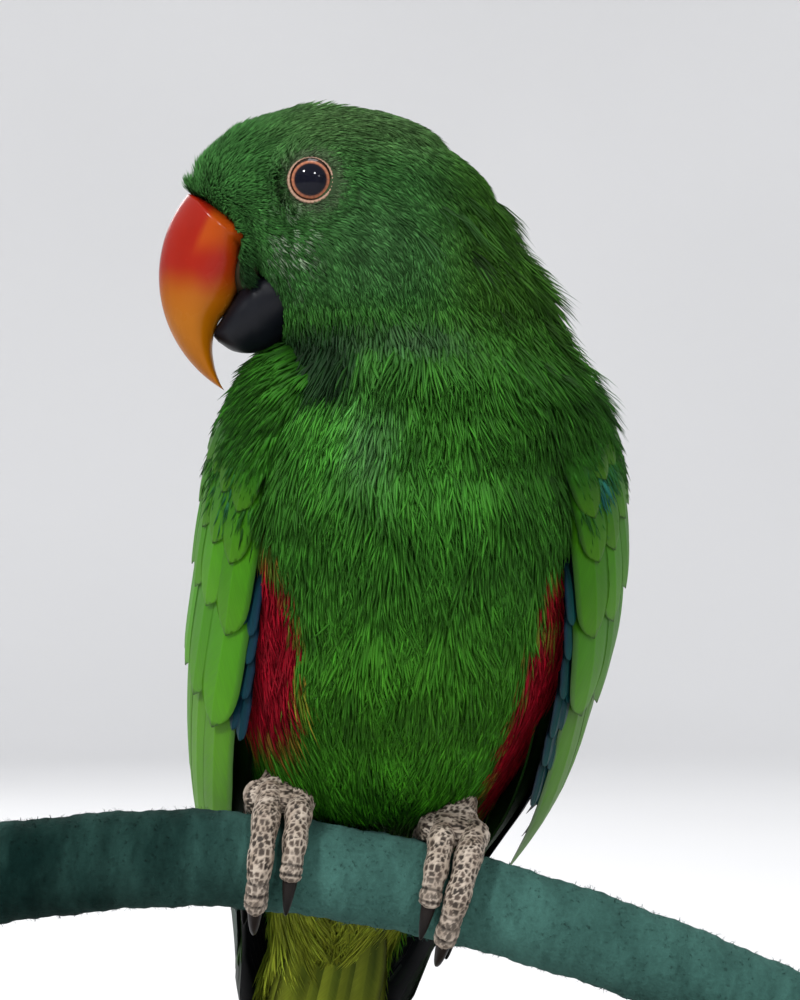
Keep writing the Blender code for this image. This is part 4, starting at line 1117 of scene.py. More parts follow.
class PARROT_OT_wings(bpy.types.Operator):
    """Build both folded wings feather by feather over their flesh"""

    bl_idname = "parrot.wings"
    bl_label = "Wings"

    def execute(self, context):
        paint = vane_paint("wing_vanes", 0.45)
        barbs = feather_paint("wing_barbs")
        skin = skin_paint()
        for side, word in SIDES:
            sheet = WingSheet(side)
            draw = np.random.default_rng(11 + side)
            made = joined("wing_feathers_" + word, self.tiers(sheet, draw))
            dress(made, paint, "wing_green", "wing_" + word)
            dress(self.flesh("wing_skin_" + word, sheet), skin, "wing_green")
            dress(self.shoulder("wing_shoulder_" + word, sheet, draw), barbs, "wing_green")
        return {"FINISHED"}

    def tiers(self, sheet, draw):
        """Primaries, secondaries, coverts and the front edge's feathers, drawn in this order."""
        return [
            vanes(sheet, self.primaries(), 1),
            vanes(sheet, self.secondaries(draw), 2),
            *self.coverts(sheet, draw),
            *self.front_edge(sheet, draw),
        ]

    def primaries(self):
        """Long outer feathers, each a little longer, further out and lower than the one above it."""
        count = 9
        share, step = np.linspace(0, 1, count), np.arange(count)
        root = np.stack([80.0 + share * 4, np.radians(100 - 22 * share[::-1])], -1)
        tip = np.stack([172 + 54 * share**0.9, np.radians(34 + 22 * share)], -1)
        lift = np.stack([-5.4 - 0.5 * step, -4.6 - 0.45 * step], -1)
        dark = (FLIGHT_DARK, lambda s, c: np.maximum(smooth(0.45, 0.1, c), smooth(0.2, 0.45, s)) * 0.94)
        return {
            "root": root, "tip": tip, "width": np.full(count, 13.0), "lift": lift, "shape": flight_shape,
            "colour": painted(WING_DEEP, WING_LIME, FLIGHT_DARK, dark), "rows": 20, "ragged": 0.006,
            "camber": 0.22, "thick": 0.35,
        }

    def secondaries(self, draw):
        """Broad feathers under the lowest coverts, longer and lower towards the breast."""
        count = 10
        blues = (WING_BLUE, lambda s, c: smooth(0.1, 0.7, c) * 0.6 * smooth(0.75, 0.3, s))
        base = shaded(count, lerp(WING_FRESH, WING_LIME, 0.5), lerp(FLIGHT_DARK, WING_DEEP, 0.3))
        colour = painted(base, lerp(WING_DEEP, WING_BLUE, 0.4), FLIGHT_DARK, blues, 0.35)
        tier = row_of(draw, count, 50, (12, 116, 20, 92), 71, 16, (-2.6, -1.1))
        tier["tip"][:, 0] += 22 * np.linspace(0, 1, count) ** 0.8
        tier["lift"] -= (0.7 + 0.3 * np.arange(count))[:, None]
        tier.update(shape=flight_shape, colour=colour, rows=20, ragged=0.006, roll=0.3, camber=0.3)
        return tier

    def coverts(self, sheet, draw):
        """Five rows from the lowest and longest up to the shoulder. The left wing is darker towards the breast:
        painted shade on the wing that faces away from the key lamp.
        """
        rows = (
            (11, 32, (12, 122, 14, 123), 66, 15.0, (-2.0, 0.5), -2, WING_GOLD, 18),
            (10, 12, (13, 124, 14, 123), 46, 17.0, (-1.7, 1.0), -5, WING_LIME, 16),
            (11, 1, (14, 125, 14, 125), 34, 14.0, (-1.6, 1.2), -4, lerp(WING_FRESH, WING_LIME, 0.6), 14),
            (12, -7, (15, 124, 15, 124), 25, 11.0, (-1.5, 1.2), -2, lerp(WING_DEEP, WING_FRESH, 0.6), 12),
            (12, -13, (18, 124, 17, 124), 19, 9.5, (-1.4, 1.2), -1, WING_DEEP, 12),
        )
        parts = []
        for k, (count, along, turns, reach, width, lift, slip, colour, steps) in enumerate(rows):
            tier = row_of(draw, count, along, turns, reach, width, lift, slip)
            tier["tip"][:, 0] += draw.uniform(-1.6, 1.6, count)
            # The left wing's coverts darker towards the breast: painted shade on the wing turned away from the key
            # lamp
            base = shaded(count, WING_FRESH, np.array(colour) * (1.0 if sheet.side < 0 else 0.72))
            colour = painted(base, lerp(base, WING_DEEP, 0.5), lerp(base, WING_YELLOW, 0.3), deep=0.35)
            shape = flight_shape if k == 0 else covert_shape
            tier.update(shape=shape, colour=colour, roll=0.25, rows=steps, camber=0.45, ragged=0.01)
            parts.append(vanes(sheet, tier, 3 + k))
        return parts

    def front_edge(self, sheet, draw):
        """Pairs of short blue feathers down the front edge, two pairs more on the left wing."""
        navy = lerp(WING_TEAL, WING_BLUE, 0.5 if sheet.side < 0 else 0.2) * 0.34
        colour = painted(navy, lerp(WING_BLUE, FLIGHT_DARK, 0.6), navy * 1.5, deep=0.25)
        pairs = ((14, 14), (22, 14), (30, 15), (38, 15), (47, 15), (56, 15))[: 4 if sheet.side < 0 else 6]
        parts = []
        for k, (along, reach) in enumerate(pairs):
            tier = row_of(draw, 2, along, (130, 132.5, 130, 133), reach, 4.2, (-2.3, -0.1 - 0.1 * k))
            tier.update(shape=covert_shape, colour=colour, rows=12, camber=0.4)
            parts.append(vanes(sheet, tier, 20 + k))
        return parts

    def shoulder(self, name, sheet, draw):
        """Hair-like small feathers over the shoulder, that run into the breast's."""
        count = 1750
        across = np.radians(draw.uniform(12, 127, count))
        reach = 26 + 14 * smooth(95, 55, np.degrees(across))
        along = -21 + reach * draw.random(count) ** 0.85
        lift = np.full(count, -1.1)
        roots = sheet.point(along, across, lift)
        down = sheet.point(along + 0.5, across, lift) - sheet.point(along - 0.5, across, lift)
        around = sheet.point(along, across + 0.02, lift) - sheet.point(along, across - 0.02, lift)
        normals = unit(np.cross(down, around)) * -sheet.side
        sway = unit(around) * (0.10 * waves(roots, 14, 8))[:, None]
        lies = unit(unit(down) + sway + draw.normal(0, 0.05, (count, 3)))
        length, rise = draw.uniform(8.0, 12.0, count), draw.uniform(0.8, 1.5, count)
        degrees = np.degrees(across)
        olive, teal = (0.75, 0.85) if sheet.side > 0 else (0.3, 0.35)
        tints = layered(
            WING_DEEP,
            (BREAST_GREEN, smooth(70, 125, degrees) * 0.5),
            (WING_OLIVE, smooth(100, 40, degrees) * olive),
            (np.array(WING_LIME) * 0.75, smooth(2, 16, along) * 0.8),
            (WING_BEND, blob(along, degrees, (1, 115), (4.5, 6.5)) * teal),
        ) * (0.85 + 0.3 * draw.random((count, 1)))
        return tufts(
            name, roots, normals, lies, tints, sheet.patch(along, across), 80 + sheet.side, length, 5.0, rise,
            barbs=6, stations=(0.0, 0.6), swell=(0.8, 1.0), bend=0.004, sway=0.04,
        )

    def flesh(self, name, sheet):
        """A plate inside the wing that thins out towards its edges."""
        rows, columns = 40, 40
        down, share = np.meshgrid(np.linspace(0, 1, rows), np.linspace(0, 1, columns), indexing="ij")
        along = -20 + 128 * down
        low, high = np.radians(12 + 3 * down), np.radians(134 - 9 * down)
        across = low + (high - low) * share
        edge = np.minimum.reduce([np.ones_like(down), 4 * share, 4 * (1 - share), 5 * (1 - down), 6 * down])
        sunk = -2.2 - 1.4 * (1 - edge) - 3.4 * np.minimum(1, 2.5 * down) * smooth(60, 110, np.degrees(across))
        top = sheet.point(along, across, sunk)
        low_side = sheet.point(along, across, sunk - 0.6 - 6 * edge)
        points = np.concatenate([top.reshape(-1, 3), low_side.reshape(-1, 3)])
        faces = facing_out(points, [plate_faces(rows, columns)])
        # The flesh shows only between the feathers, so it is a very dark green: painted shade
        colours = np.broadcast_to(np.array(WING_DEEP) * 0.35, points.shape)
        patch = sheet.patch(along, across).reshape(-1, 2)
        return put_mesh(name, points, faces, colours, np.concatenate([patch, patch + [0, 0.001]]))


class PARROT_OT_tail(bpy.types.Operator):
    """Build the tail feathers with their coverts above and below"""

    bl_idname = "parrot.tail"
    bl_label = "Tail"

    def execute(self, context):
        sheet = TailSheet()
        band = (TAIL_PALE, lambda s, c: smooth(0.9, 0.94, s) + 0 * c)
        top = painted(TAIL_TOP, WING_BLUE, TAIL_TOP, band)
        # A dark streak beside each undertail covert's shaft: partly the feather's darker green, partly painted shadow
        # where the next covert overlaps it
        streak_and_shade = (TAIL_STREAK_AND_SHADE, lambda s, c: 0.85 * smooth(0.6, 0.05, np.abs(c - 0.3)) * smooth(0.98, 0.35, s))
        olive = painted(VENT_OLIVE, lerp(VENT_OLIVE, FLIGHT_DARK, 0.7), lerp(VENT_OLIVE, TAIL_PALE, 0.3), streak_and_shade)
        green = painted(WING_DEEP, WING_LIME, WING_LIME)
        parts = []
        for side in (-1, 1):
            k = np.arange(1, 7)
            place = (k - 0.5) * side
            level = -0.62 * k - (0.3 if side < 0 else 0.0)
            root = np.stack([TAIL_TIP - TAIL_LENGTH + 0.7 * k, place * 1.5], -1)
            tip = np.stack([TAIL_TIP - 0.2 * place**2, place * 3.1], -1)
            tier = {"root": root, "tip": tip, "width": np.full(6, 14.0), "lift": np.stack([level - 1, level], -1)}
            tier.update(shape=square_shape, colour=top, rows=22, ragged=0.006, camber=0.3, round=0.12, thick=0.35)
            parts.append(vanes(sheet, tier, 40 + side))
        for n, (count, start, end, width, lift, gap, colour) in enumerate((
            (6, 124, 214, 11.0, (-7.4, -8.4), 4.8, olive),
            (6, 120, 202, 10.0, (-8.0, -9.3), 4.4, olive),
            (6, 116, 188, 9.5, (-8.6, -10.2), 4.2, olive),
            (6, 112, 174, 9.0, (-9.2, -11.2), 4.0, olive),
            (5, 108, 160, 8.5, (-9.8, -12.2), 4.2, olive),
            (5, 132, 186, 11.0, (-3.0, 1.3), 4.4, green),
            (4, 124, 168, 11.0, (-2.6, 2.0), 4.6, green),
        )):
            place = (np.arange(count) - (count - 1) / 2) * gap
            root = np.stack([start + 0.8 * np.arange(count), place * 0.8], -1)
            tip = np.stack([end - 1.1 * np.abs(place), place], -1)
            tier = {"root": root, "tip": tip, "width": np.full(count, width), "lift": np.tile(lift, (count, 1))}
            camber, veil = (-0.7, 0.0) if colour is olive else (0.7, 0.75)
            tier.update(shape=covert_shape, colour=colour, rows=14, under=WING_DEEP)
            tier.update(camber=camber, uneven=0.35, veil=veil)
            tier["lift"] = tier["lift"] + 0.25 * ((np.arange(count) % 2) - 0.5)[:, None]
            parts.append(vanes(sheet, tier, 50 + n))
        dress(joined("tail_feathers", parts), vane_paint("tail_vanes", 0.5), "tail_dark", "tail")
        return {"FINISHED"}


def bill_rings(outer, inner, half, narrow, columns):
    """Egg-shaped rings between two profile lines, narrower at the outer one."""
    turn = circle(columns)
    middle, reach = (outer + inner) / 2, (outer - inner) / 2
    flat = middle[:, None] + reach[:, None] * np.cos(turn)[:, None]
    width = half[:, None] * np.sin(turn) * (1 - narrow * np.cos(turn))
    return np.stack([flat[..., 0], HEAD_PLANE_Y + width, flat[..., 1]], -1)


def culmen(share):
    """Points of the circular arc of the bill's ridge."""
    root, tip = np.array(CULMEN_ROOT), np.array(CULMEN_TIP)
    chord = tip - root
    length = np.linalg.norm(chord)
    normal = np.array([chord[1], -chord[0]]) / length
    radius = (length**2 / 4 + CULMEN_RISE**2) / (2 * CULMEN_RISE)
    centre = (root + tip) / 2 - normal * (radius - CULMEN_RISE)
    turn = math.asin(length / 2 / radius) * (2 * share - 1)
    return centre + radius * (np.cos(turn)[:, None] * normal + np.sin(turn)[:, None] * chord / length)


class PARROT_OT_bill(bpy.types.Operator):
    """Build both halves of the bill, from horn with growth lines"""

    bl_idname = "parrot.bill"
    bl_label = "Bill"

    def execute(self, context):
        own = context.scene.parrot
        share = np.linspace(-0.12, 0.985, 90)
        held = np.maximum(share, 0)
        edge_x, edge_z, half = np.moveaxis(UPPER(held), -1, 0)
        half = half * np.where(held > 0.95, np.clip((1 - held) / 0.05, 0, 1) ** 0.6, 1)
        outer, inner = culmen(held), np.stack([edge_x, edge_z], -1)
        tip = culmen(np.array([1.0]))[0]
        inner = inner + (tip - inner) * smooth(0.9, 1.0, held)[:, None]
        back = np.clip(-share / 0.12, 0, 1)[:, None]
        half = half * (1 - 0.5 * back[:, 0])
        rings = bill_rings(outer + back * [9.0, -4.0], inner + back * [9.0, 1.0], half, 0.22, 72)
        colours = np.concatenate([self.horn(rings, own).reshape(-1, 3), [own.bill_red, own.bill_yellow]])
        paint = self.horn_paint("bill_horn", 0.24, 0.12, 0.05)
        upper = tube(rings, end=(tip[0], HEAD_PLANE_Y, tip[1]))
        solid("upper_bill", upper, colours, paint, "bill_orange", "bill_upper")

        share = np.linspace(0, 1, 60)
        top_x, top_z, keel_x, keel_z, half = np.moveaxis(LOWER(share), -1, 0)
        rings = bill_rings(np.stack([keel_x, keel_z], -1), np.stack([top_x, top_z], -1), half, 0.2, 56)
        lower = tube(rings, start=LOWER_BILL_TIP)
        colours = np.broadcast_to(HORN_BLACK, lower[0].shape)
        paint = self.horn_paint("bill_black_horn", 0.36, 0.16, 0.0)
        solid("lower_bill", lower, colours, paint, "bill_black", "bill_lower")
        self.gape()
        return {"FINISHED"}

    def gape(self):
        """A flattened ball of bare skin in the corner of the mouth, between the two halves and the cheeks."""
        lift = np.linspace(0.05, math.pi - 0.05, 24)[:, None]
        turn = circle(40)
        rings = np.stack([np.sin(lift) * np.cos(turn), np.cos(lift) + 0 * turn, np.sin(lift) * np.sin(turn)], -1)
        ball = tube(rings * GAPE_RADII + GAPE_MIDDLE)
        colours = np.broadcast_to(lerp(GAPE_SKIN, SKIN_DARK, 0.5), ball[0].shape)
        paint = grained("gape_skin", 900.0, 3.0, 0.6, 0.8, (0.0002, 0.5), roughness=0.55, specular_ior_level=0.2)
        solid("gape_skin", ball, colours, paint, "bill_black")

    def horn(self, rings, own):
        """Coral red above, amber yellow below, with an orange rim by the feathers and a pale cutting edge."""
        x, y, z = np.moveaxis(rings, -1, 0)
        wave = 1.2 * np.sin(y * 0.8) + 0.8 * np.sin(x * 0.9)
        low = smooth(49.5, 41.5, z + 0.10 * (x + 45) + wave * 0.6)
        rim = smooth(1.5, 0.0, (z - 61.5) * 0.42 + (x + 39.4) * -0.9 + 1.2) * smooth(50, 56, z)
        inward = np.cos(circle(rings.shape[1])) * np.ones_like(z)
        return layered(
            lerp(own.bill_red, lerp(own.bill_red, own.bill_yellow, 0.8), low),
            (own.bill_yellow, smooth(44, 36, z)),
            (HORN_RIM, rim * 0.8),
            (HORN_EDGE, smooth(-0.80, -0.97, inward) * 0.65),
            (HORN_RIM, smooth(-0.45, -0.80, inward) * 0.5 * (1 - low)),
        )

    def horn_paint(self, name, rough, gloss, coat):
        """Horn with growth lines that run level and scuffs that make its gloss uneven."""
        paint = Paint(name, roughness=rough, specular_ior_level=gloss, coat_weight=coat, coat_roughness=0.08)
        lines = paint.noise(260.0, 3.0, stretch=(1.0, 1.0, 0.25))
        scuffs = paint.noise(90.0, 5.0)
        paint.colour(paint.scaled(paint.tint(), 0.86 + 0.16 * lines + 0.14 * scuffs))
        paint.rough(rough - 0.1 + 0.24 * scuffs)
        paint.bump(lines * 0.6 + scuffs * 0.4, 0.0002, 0.25)
        return paint


class PARROT_OT_eyes(bpy.types.Operator):
    """Build the eyeballs and the bare rings of skin around them"""

    bl_idname = "parrot.eyes"
    bl_label = "Eyes"

    def execute(self, context):
        for side, word in SIDES:
            centre = eye_centre(side)
            self.ball(centre, side, word)
            self.lids(centre, side, word)
        return {"FINISHED"}

    def ball(self, centre, side, word):
        """A sphere whose poles face along Y, with the pupil and iris as rings around the near pole."""
        lift = np.linspace(0.02, math.pi - 0.02, 64)
        turn = circle(64)
        reach = EYE_RADIUS * np.sin(lift)[:, None]
        y = side * EYE_RADIUS * np.cos(lift)[:, None] + 0 * turn
        rings = centre + np.stack([reach * np.cos(turn), y, reach * np.sin(turn)], -1)
        points, faces = tube(rings, centre + [0, side * EYE_RADIUS, 0], centre - [0, side * EYE_RADIUS, 0])
        away = np.hypot(points[:, 0] - centre[0], points[:, 2] - centre[2])
        turn = np.arctan2(points[:, 2] - centre[2], points[:, 0] - centre[0])
        iris = lerp(*IRIS_RAYS, 0.5 + 0.5 * np.cos(turn * 23))
        edges = (IRIS_RING, PUPIL_EDGE), (iris, IRIS_START), (IRIS_EDGE, IRIS_END)
        colour = layered(PUPIL, *((tint, smooth(*edge, away)) for tint, edge in edges))
        paint = grained("wet_eye_" + word, 1500.0, 2.0, 0.85, 0.3, roughness=0.05, specular_ior_level=0.16)
        solid("eyeball_" + word, (points, faces), colour, paint, "eye", "eye_" + word)

    def lids(self, centre, side, word):
        """A ring round the eye, with a thin inner rim and beaded skin outside it."""
        a, b = np.meshgrid(circle(160), circle(28), indexing="ij")
        beads = 0.07 * np.sin(a * 34 + 2 * np.sin(b)) * np.sin(b * 3) + 0.03 * np.sin(a * 57 + b * 5)
        reach = LID_REACH + (0.38 + beads) * np.cos(b)
        rise = reach * np.sin(a)
        out = side * (EYE_SINK - 1.05 + (0.5 + beads) * np.sin(b) - math.tan(LID_TILT) * rise)
        rings = centre + np.stack([reach * np.cos(a), out, rise], -1)
        points = rings.reshape(-1, 3)
        faces = [grid_faces(161, 28, True) % len(points)]
        colour = layered(LID_PALE, (LID_OUTER, smooth(4.65, 4.95, reach)), (LID_RIM, smooth(4.34, 4.18, reach)))
        paint = grained("eye_ring_skin_" + word, 1400.0, 3.0, 0.8, 0.4, (0.0001, 0.4), roughness=0.5)
        solid("eye_ring_" + word, (points, faces), colour, paint, "green_plumage")


# Feet and perch


def perch_height(x):
    """Height of the perch's middle line: a crest that falls away as a power of the distance, faster on one side."""
    x = np.asarray(x, float)
    away = x - PERCH_CREST[0]
    right = PERCH_FALLS[0] * (np.maximum(away, 0) / PERCH_SPANS[0]) ** PERCH_BEND
    left = PERCH_FALLS[1] * (np.maximum(-away, 0) / PERCH_SPANS[1]) ** PERCH_BEND
    return PERCH_CREST[2] - right - left


def perch_frame(x):
    """Middle points, upward normals, directions along and radii of the perch at each x."""
    x = np.asarray(x, float)
    slope = perch_height(x + 1) - perch_height(x - 1)
    along = unit(np.stack([2 + 0 * x, 0 * x, slope], -1))
    up = np.stack([-along[..., 2], 0 * x, along[..., 0]], -1)
    share = (x - PERCH_ENDS[0]) / (PERCH_ENDS[1] - PERCH_ENDS[0])
    radius = PERCH_RADII[0] + (PERCH_RADII[1] - PERCH_RADII[0]) * share
    centre = np.stack([x, PERCH_CREST[1] + 0 * x, perch_height(x)], -1)
    return centre, up, along, radius


def toe_path(x, turn, clear, radius, columns):
    """Rings round a toe that lies over the perch at these turns from its top."""
    centre, up, along, thick = perch_frame(x)
    outward = up * np.cos(turn)[:, None] - BACKWARDS * np.sin(turn)[:, None]
    middle = centre + outward * (thick + clear + radius)[:, None]
    a = circle(columns)
    ring = outward[:, None] * np.cos(a)[:, None] + along[:, None] * np.sin(a)[:, None]
    return middle, ring


class PARROT_OT_feet(bpy.types.Operator):
    """Build the scaly toes and shanks and the claws"""

    bl_idname = "parrot.feet"
    bl_label = "Feet"

    def execute(self, context):
        skin = grained("toe_scales", 900.0, 3.0, 0.82, 0.36, (0.00012, 0.5), roughness=0.6, specular_ior_level=0.2)
        horn = grained("claw_horn", 400.0, 3.0, 0.7, 0.6, (0.0001, 0.3), roughness=0.42, specular_ior_level=0.08)
        for word, (x, inner) in FEET.items():
            places = {kind: TOES[kind][:2] for kind in TOES}
            places["long_front"], places["short_front"] = FRONT_TOES[word]
            parts = [self.shank(x)] + [self.toe(x, inner, kind, *places[kind]) for kind in TOES]
            dress(joined("foot_" + word, parts), skin, "toe_scale", "leg_" + word)
            for kind in TOES:
                self.claw(x + inner * places[kind][1], kind, horn, f"{word}_{kind}")
        return {"FINISHED"}

    def scales(self, rings, normals, size, seed):
        """Dark sunken cells in a pale net: a cell's depth grows towards its centre."""
        flat = rings.reshape(-1, 3)
        first, second, rank = cells(flat * np.array([1.0, 1.0, 0.78]), size, seed)
        pit = smooth(0.02, 0.16, (second - first) / (second + first) * 0.95 - 0.08 * rank)
        place = flat + normals.reshape(-1, 3) * (0.10 - 0.22 * pit)[:, None]
        pale = lerp(*SCALE_NET, 0.5 + 0.5 * waves(flat, 5, 2))
        dark = lerp(*SCALE_PITS, rank)
        colour = lerp(pale, dark, pit)
        return place.reshape(rings.shape), colour

    def toe(self, x, inner, kind, start, end):
        """A tube over the perch with a blunt end, bulging pads, cell-like scales and cross folds near its end."""
        last, thick = TOES[kind][2:]
        rows, columns = (110, 56) if "long" in kind else (86, 56)
        share = np.linspace(0, 1, rows)
        turn = np.radians(last) * share + math.radians(6 if last > 0 else -6) * (1 - share)
        place = x + inner * (start + (end - start) * share)
        radius = TOE_RADIUS * thick * (1.0 + 0.06 * np.cos(share * 6.5 * math.pi)) * (1.05 - 0.14 * share)
        middle, ring = toe_path(place, turn, GAP, radius, columns)
        along = perch_frame(place)[2][:, None]
        ring = less(ring, along, 0.07 + 0.15 * share[:, None, None])
        close = np.sqrt(np.clip(1 - ((share - 0.94) / 0.06).clip(0, 1) ** 2 * 0.75, 0, 1))
        rings = middle[:, None] + ring * (radius * close)[:, None, None]
        rings, colour = self.scales(rings, ring, 1.22, 3)
        length = 0.22 * abs(last)
        beat = share * length / 2.0 + 0.10 * np.sin(share * 23 + x)
        fold = smooth(0.82, 0.98, np.abs(np.cos(beat * math.pi))) * smooth(0.70, 0.78, share)
        rings = rings - ring * (0.22 * fold)[:, None, None]
        # Dark in the cross folds: painted shade in the creases
        plain = lerp(*TOE_PLATES, fold)
        cover = (0.30 + 0.45 * fold) * smooth(0.68, 0.78, share) * np.ones(columns)[:, None]
        colour = lerp(colour, np.repeat(plain, columns, 0), cover.T.ravel())
        points, faces = tube(rings)
        return points, facing_out(points, faces), with_ends(colour)

    def shank(self, x):
        """A tapered pad and shank on top of the perch."""
        centre, up, along, radius = perch_frame(x)
        rise, half_x, half_y, lean = np.moveaxis(Curve(SHANK)(np.linspace(0, 4, 90)), -1, 0)
        middle = centre + up * (radius + GAP + rise)[:, None] + BACKWARDS * lean[:, None]
        a = circle(72)
        side = along * np.cos(a)[:, None]
        depth = BACKWARDS * np.sin(a)[:, None]
        rings = middle[:, None] + side * half_x[:, None, None] + depth * half_y[:, None, None]
        rings, colour = self.scales(rings, np.broadcast_to(side + depth, rings.shape), 1.15, 5)
        points, faces = tube(rings)
        return points, facing_out(points, faces), with_ends(colour)

    def claw(self, x, kind, paint, word):
        """A tapered tube that goes on round the perch from the toe's end and leans in towards it."""
        last, thick = TOES[kind][2:]
        sign = 1 if last > 0 else -1
        rows, columns = 30, 28
        share = np.linspace(0, 1, rows)
        reach = 36 if "long" in kind else 28
        turn = np.radians(last + sign * (-1.0 + (reach + 2.5) * share))
        radius = 0.8 * CLAW_RADIUS * (1 - share) ** 0.6 + 0.12 * share
        out = np.maximum(GAP + TOE_RADIUS * thick * 0.9 - radius + 1.7 * share, GAP)
        middle, ring = toe_path(np.full(rows, x), turn, out, radius, columns)
        horn = tube(middle[:, None] + ring * radius[:, None, None])
        colours = with_ends(lerp(CLAW_ROOT, CLAW_TIP, np.repeat(share, columns)))
        solid("nail_" + word, horn, colours, paint, "claw", "claw_" + word)


class PARROT_OT_perch(bpy.types.Operator):
    """Build the fleece-wrapped perch with its nap"""

    bl_idname = "parrot.perch"
    bl_label = "Perch"

    def execute(self, context):
        own = context.scene.parrot
        rows, columns = 420, 96
        x = np.linspace(PERCH_ENDS[0], PERCH_ENDS[1], rows)
        a = circle(columns)
        centre, up, _, radius = perch_frame(x)
        ring = up[:, None] * np.cos(a)[:, None] + BACKWARDS * np.sin(a)[:, None]
        lumps = 0.16 * np.sin(x[:, None] * 0.31 + 2 * np.cos(a)) + 0.12 * np.sin(x[:, None] * 0.83 + 3 * a)
        lumps = lumps + 0.07 * np.sin(x[:, None] * 2.1 - 5 * a)
        ends = np.minimum(1, np.minimum(x - x[0], x[-1] - x) / 2.0)
        full = (radius[:, None] - 0.25 + lumps) * (0.86 + 0.14 * np.sqrt(1 - (1 - ends[:, None]) ** 2))
        rings = centre[:, None] + ring * full[..., None]
        paint = self.fleece(own)
        solid("perch_wrap", tube(rings), None, paint, "perch_cloth", "perch")
        self.nap(rings, ring, paint)
        return {"FINISHED"}

    def fleece(self, own):
        """Felted pile: blotches of dusty green over dark teal, with painted light in the middle and painted shade
        towards both ends, most at the left, and a curly grain in the bump.
        """
        soft = {"roughness": 0.95, "sheen_weight": 0.015, "sheen_roughness": 0.5, "specular_ior_level": 0.02}
        paint = Paint("perch_fleece", **soft)
        broad = paint.noise(14.0, 3.0).between(0.40, 0.62)
        blotch = paint.noise(60.0, 4.0, rough=0.6, stretch=(1.6, 0.7, 0.7)).between(0.34, 0.70)
        brush = paint.noise(260.0, 3.0, rough=0.6, stretch=(1.0, 0.35, 0.35))
        curl = paint.noise(900.0, 3.0, rough=0.7)
        middle = paint.node("ShaderNodeSeparateXYZ", None, {"Vector": paint.place()}, 0)
        # lit: painted light in the perch's middle and painted shade towards its ends, plus blotches of the cloth's
        # own tone
        lit = middle.between(-0.052, -0.012) * 0.72 + broad * 0.12 + blotch * 0.26
        lit = lit - middle.between(0.020, 0.060) * 0.25
        base = paint.mix(lit, tuple(v * 0.1 for v in own.cloth), CLOTH_DUSTY_LIT)
        paint.colour(paint.scaled(base, 0.20 + 0.85 * brush + 0.65 * curl))
        paint.bump(curl * 0.5 + brush * 0.5, 0.0012, 0.6)
        return paint

    def nap(self, rings, ring, paint):
        """Short curled fibres that stand a fraction of a millimetre off the wrap."""
        draw = np.random.default_rng(5)
        count = 3200
        row = draw.integers(6, rings.shape[0] - 6, count)
        column = draw.integers(0, rings.shape[1], count)
        normals = ring[row, column]
        roots = rings[row, column]
        lies = unit(np.cross(normals, draw.normal(size=(count, 3))))
        length, rise = draw.uniform(0.6, 1.8, count), draw.uniform(0.1, 0.8, count)
        patches = np.stack([row / rings.shape[0], column / rings.shape[1]], -1)
        made = tufts(
            "perch_nap", roots, normals, lies, np.ones((count, 3)), patches, 6, length, 0.22, rise,
            barbs=3, stations=(0.0, 0.5), swell=(1.0, 0.8), bend=0.0, sink=0.2, sway=0.4, glints=0.0,
        )
        dress(made, paint, "perch_cloth")


class PARROT_OT_stand(bpy.types.Operator):
    """Finish the stand's wooden base and steel rods"""

    bl_idname = "parrot.stand"
    bl_label = "Stand"

    def execute(self, context):
        wood = Paint("stand_walnut", roughness=0.4, coat_weight=0.25, coat_roughness=0.2)
        rings = wood.noise(9.0, 4.0, stretch=(1.0, 9.0, 9.0))
        grain = wood.noise(60.0, 6.0, rough=0.65, stretch=(1.0, 22.0, 22.0))
        wood.colour(wood.node("ShaderNodeValToRGB", {"stops": WALNUT}, {0: rings * 0.6 + grain * 0.4}))
        wood.rough(0.3 + 0.25 * grain)
        wood.bump(grain, 0.0002, 0.4)
        steel = Paint("stand_steel", metallic=1.0, roughness=0.3)
        brush = steel.noise(220.0, 4.0, stretch=(1.0, 1.0, 0.04))
        steel.colour(steel.scaled(STEEL, 0.85 + 0.3 * brush))
        steel.rough(0.2 + 0.25 * brush)
        for name, paint, slot in (
            ("stand_base", wood, "stand_wood"),
            ("stand_rod_left", steel, "stand_metal"),
            ("stand_rod_right", steel, "stand_metal"),
        ):
            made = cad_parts[name]
            made.data.materials.clear()
            made.data.materials.append(paint.material)
        return {"FINISHED"}


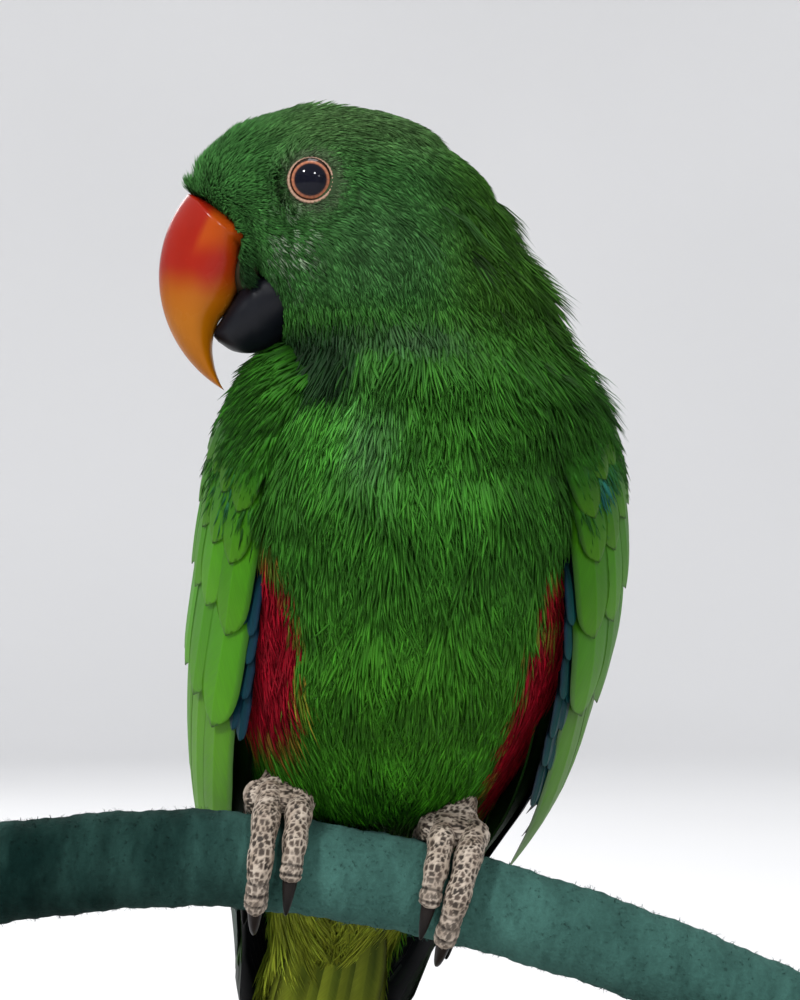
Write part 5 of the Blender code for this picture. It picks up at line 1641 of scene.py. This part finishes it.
class PARROT_OT_stage(bpy.types.Operator):
    """Set the floor, the lights and the camera"""

    bl_idname = "parrot.stage"
    bl_label = "Stage"

    def execute(self, context):
        self.floor()
        for lamp in LIGHTS:
            self.light(*lamp)
        world = bpy.data.worlds.new("studio")
        world.use_nodes = True
        sky = world.node_tree.nodes["Background"]
        sky.inputs[0].default_value, sky.inputs[1].default_value = SKY, SKY_STRENGTH
        context.scene.world = world
        context.scene.view_settings.view_transform = "Standard"
        self.camera(context)
        return {"FINISHED"}

    def floor(self):
        """A round pale dish: flat, then curved up in a quarter circle, then upright."""
        flat, bend, rise = 2600.0, 900.0, 900.0
        lift = np.linspace(0, math.pi / 2, 20)
        reach = np.concatenate([[600, flat], flat + bend * np.sin(lift)[1:], [flat + bend]])
        z = np.concatenate([[0, 0], bend * (1 - np.cos(lift))[1:], [bend + rise]])
        columns = 96
        turn, reach = circle(columns), reach[:, None]
        rings = np.stack(np.broadcast_arrays(reach * np.cos(turn), reach * np.sin(turn), z[:, None]), -1) - SHIFT
        points = np.concatenate([rings.reshape(-1, 3), [-SHIFT]])
        i = np.arange(columns)
        middle = np.stack([i, (i + 1) % columns, np.full(columns, len(points) - 1)], -1)
        made = put_mesh("floor", points, [grid_faces(len(z), columns, True)[:, ::-1], middle])
        paint = Paint("floor_paper", roughness=0.9)
        paint.colour(paint.mix(paint.noise(2.0, 2.0), *PAPER))
        made.data.materials.append(paint.material)

    def light(self, name, way, size, power):
        """A square lamp at some distance from the bird in the direction given, facing the breast."""
        data = bpy.data.lights.new(name, "AREA")
        data.size = size * MM
        data.energy = power
        lamp = bpy.data.objects.new(name, data)
        bpy.context.scene.collection.objects.link(lamp)
        place = np.array(way) * LIGHT_DISTANCE
        lamp.location = (place + SHIFT) * MM
        lamp.rotation_euler = Vector(LIGHT_TARGET - place).to_track_quat("-Z", "Y").to_euler()

    def camera(self, context):
        """A long lens level with the bird's middle height, looking along +Y."""
        data = bpy.data.cameras.new("camera")
        data.lens, data.sensor_width = FOCAL_LENGTH, SENSOR
        data.clip_start, data.clip_end = CAMERA_CLIP
        camera = bpy.data.objects.new("camera", data)
        context.scene.collection.objects.link(camera)
        camera.location = (SHIFT + [0, -CAMERA_DISTANCE, 0]) * MM
        camera.rotation_euler = (math.radians(90), 0, 0)
        context.scene.camera = camera


class PARROT_PT_panel(bpy.types.Panel):
    """Lists the pieces in the sidebar"""

    bl_label = "Parrot"
    bl_space_type = "VIEW_3D"
    bl_region_type = "UI"
    bl_category = "Parrot"

    def draw(self, context):
        """The settings, then a button for each piece."""
        for key in ParrotSettings.__annotations__:
            self.layout.prop(context.scene.parrot, key)
        for piece in PIECES:
            self.layout.operator(piece.bl_idname)


PIECES = (
    PARROT_OT_skin,
    PARROT_OT_coat,
    PARROT_OT_wings,
    PARROT_OT_tail,
    PARROT_OT_bill,
    PARROT_OT_eyes,
    PARROT_OT_feet,
    PARROT_OT_perch,
    PARROT_OT_stand,
    PARROT_OT_stage,
)


def register():
    """Registers the settings, the operators and the panel."""
    for kind in (ParrotSettings, *PIECES, PARROT_PT_panel):
        bpy.utils.register_class(kind)
    bpy.types.Scene.parrot = bpy.props.PointerProperty(type=ParrotSettings)


def unregister():
    """Takes them all out again."""
    del bpy.types.Scene.parrot
    for kind in reversed((ParrotSettings, *PIECES, PARROT_PT_panel)):
        bpy.utils.unregister_class(kind)


def main():
    """Builds every piece in order."""
    register()
    for piece in PIECES:
        group, name = piece.bl_idname.split(".")
        getattr(getattr(bpy.ops, group), name)()


if __name__ == "__main__":
    main()
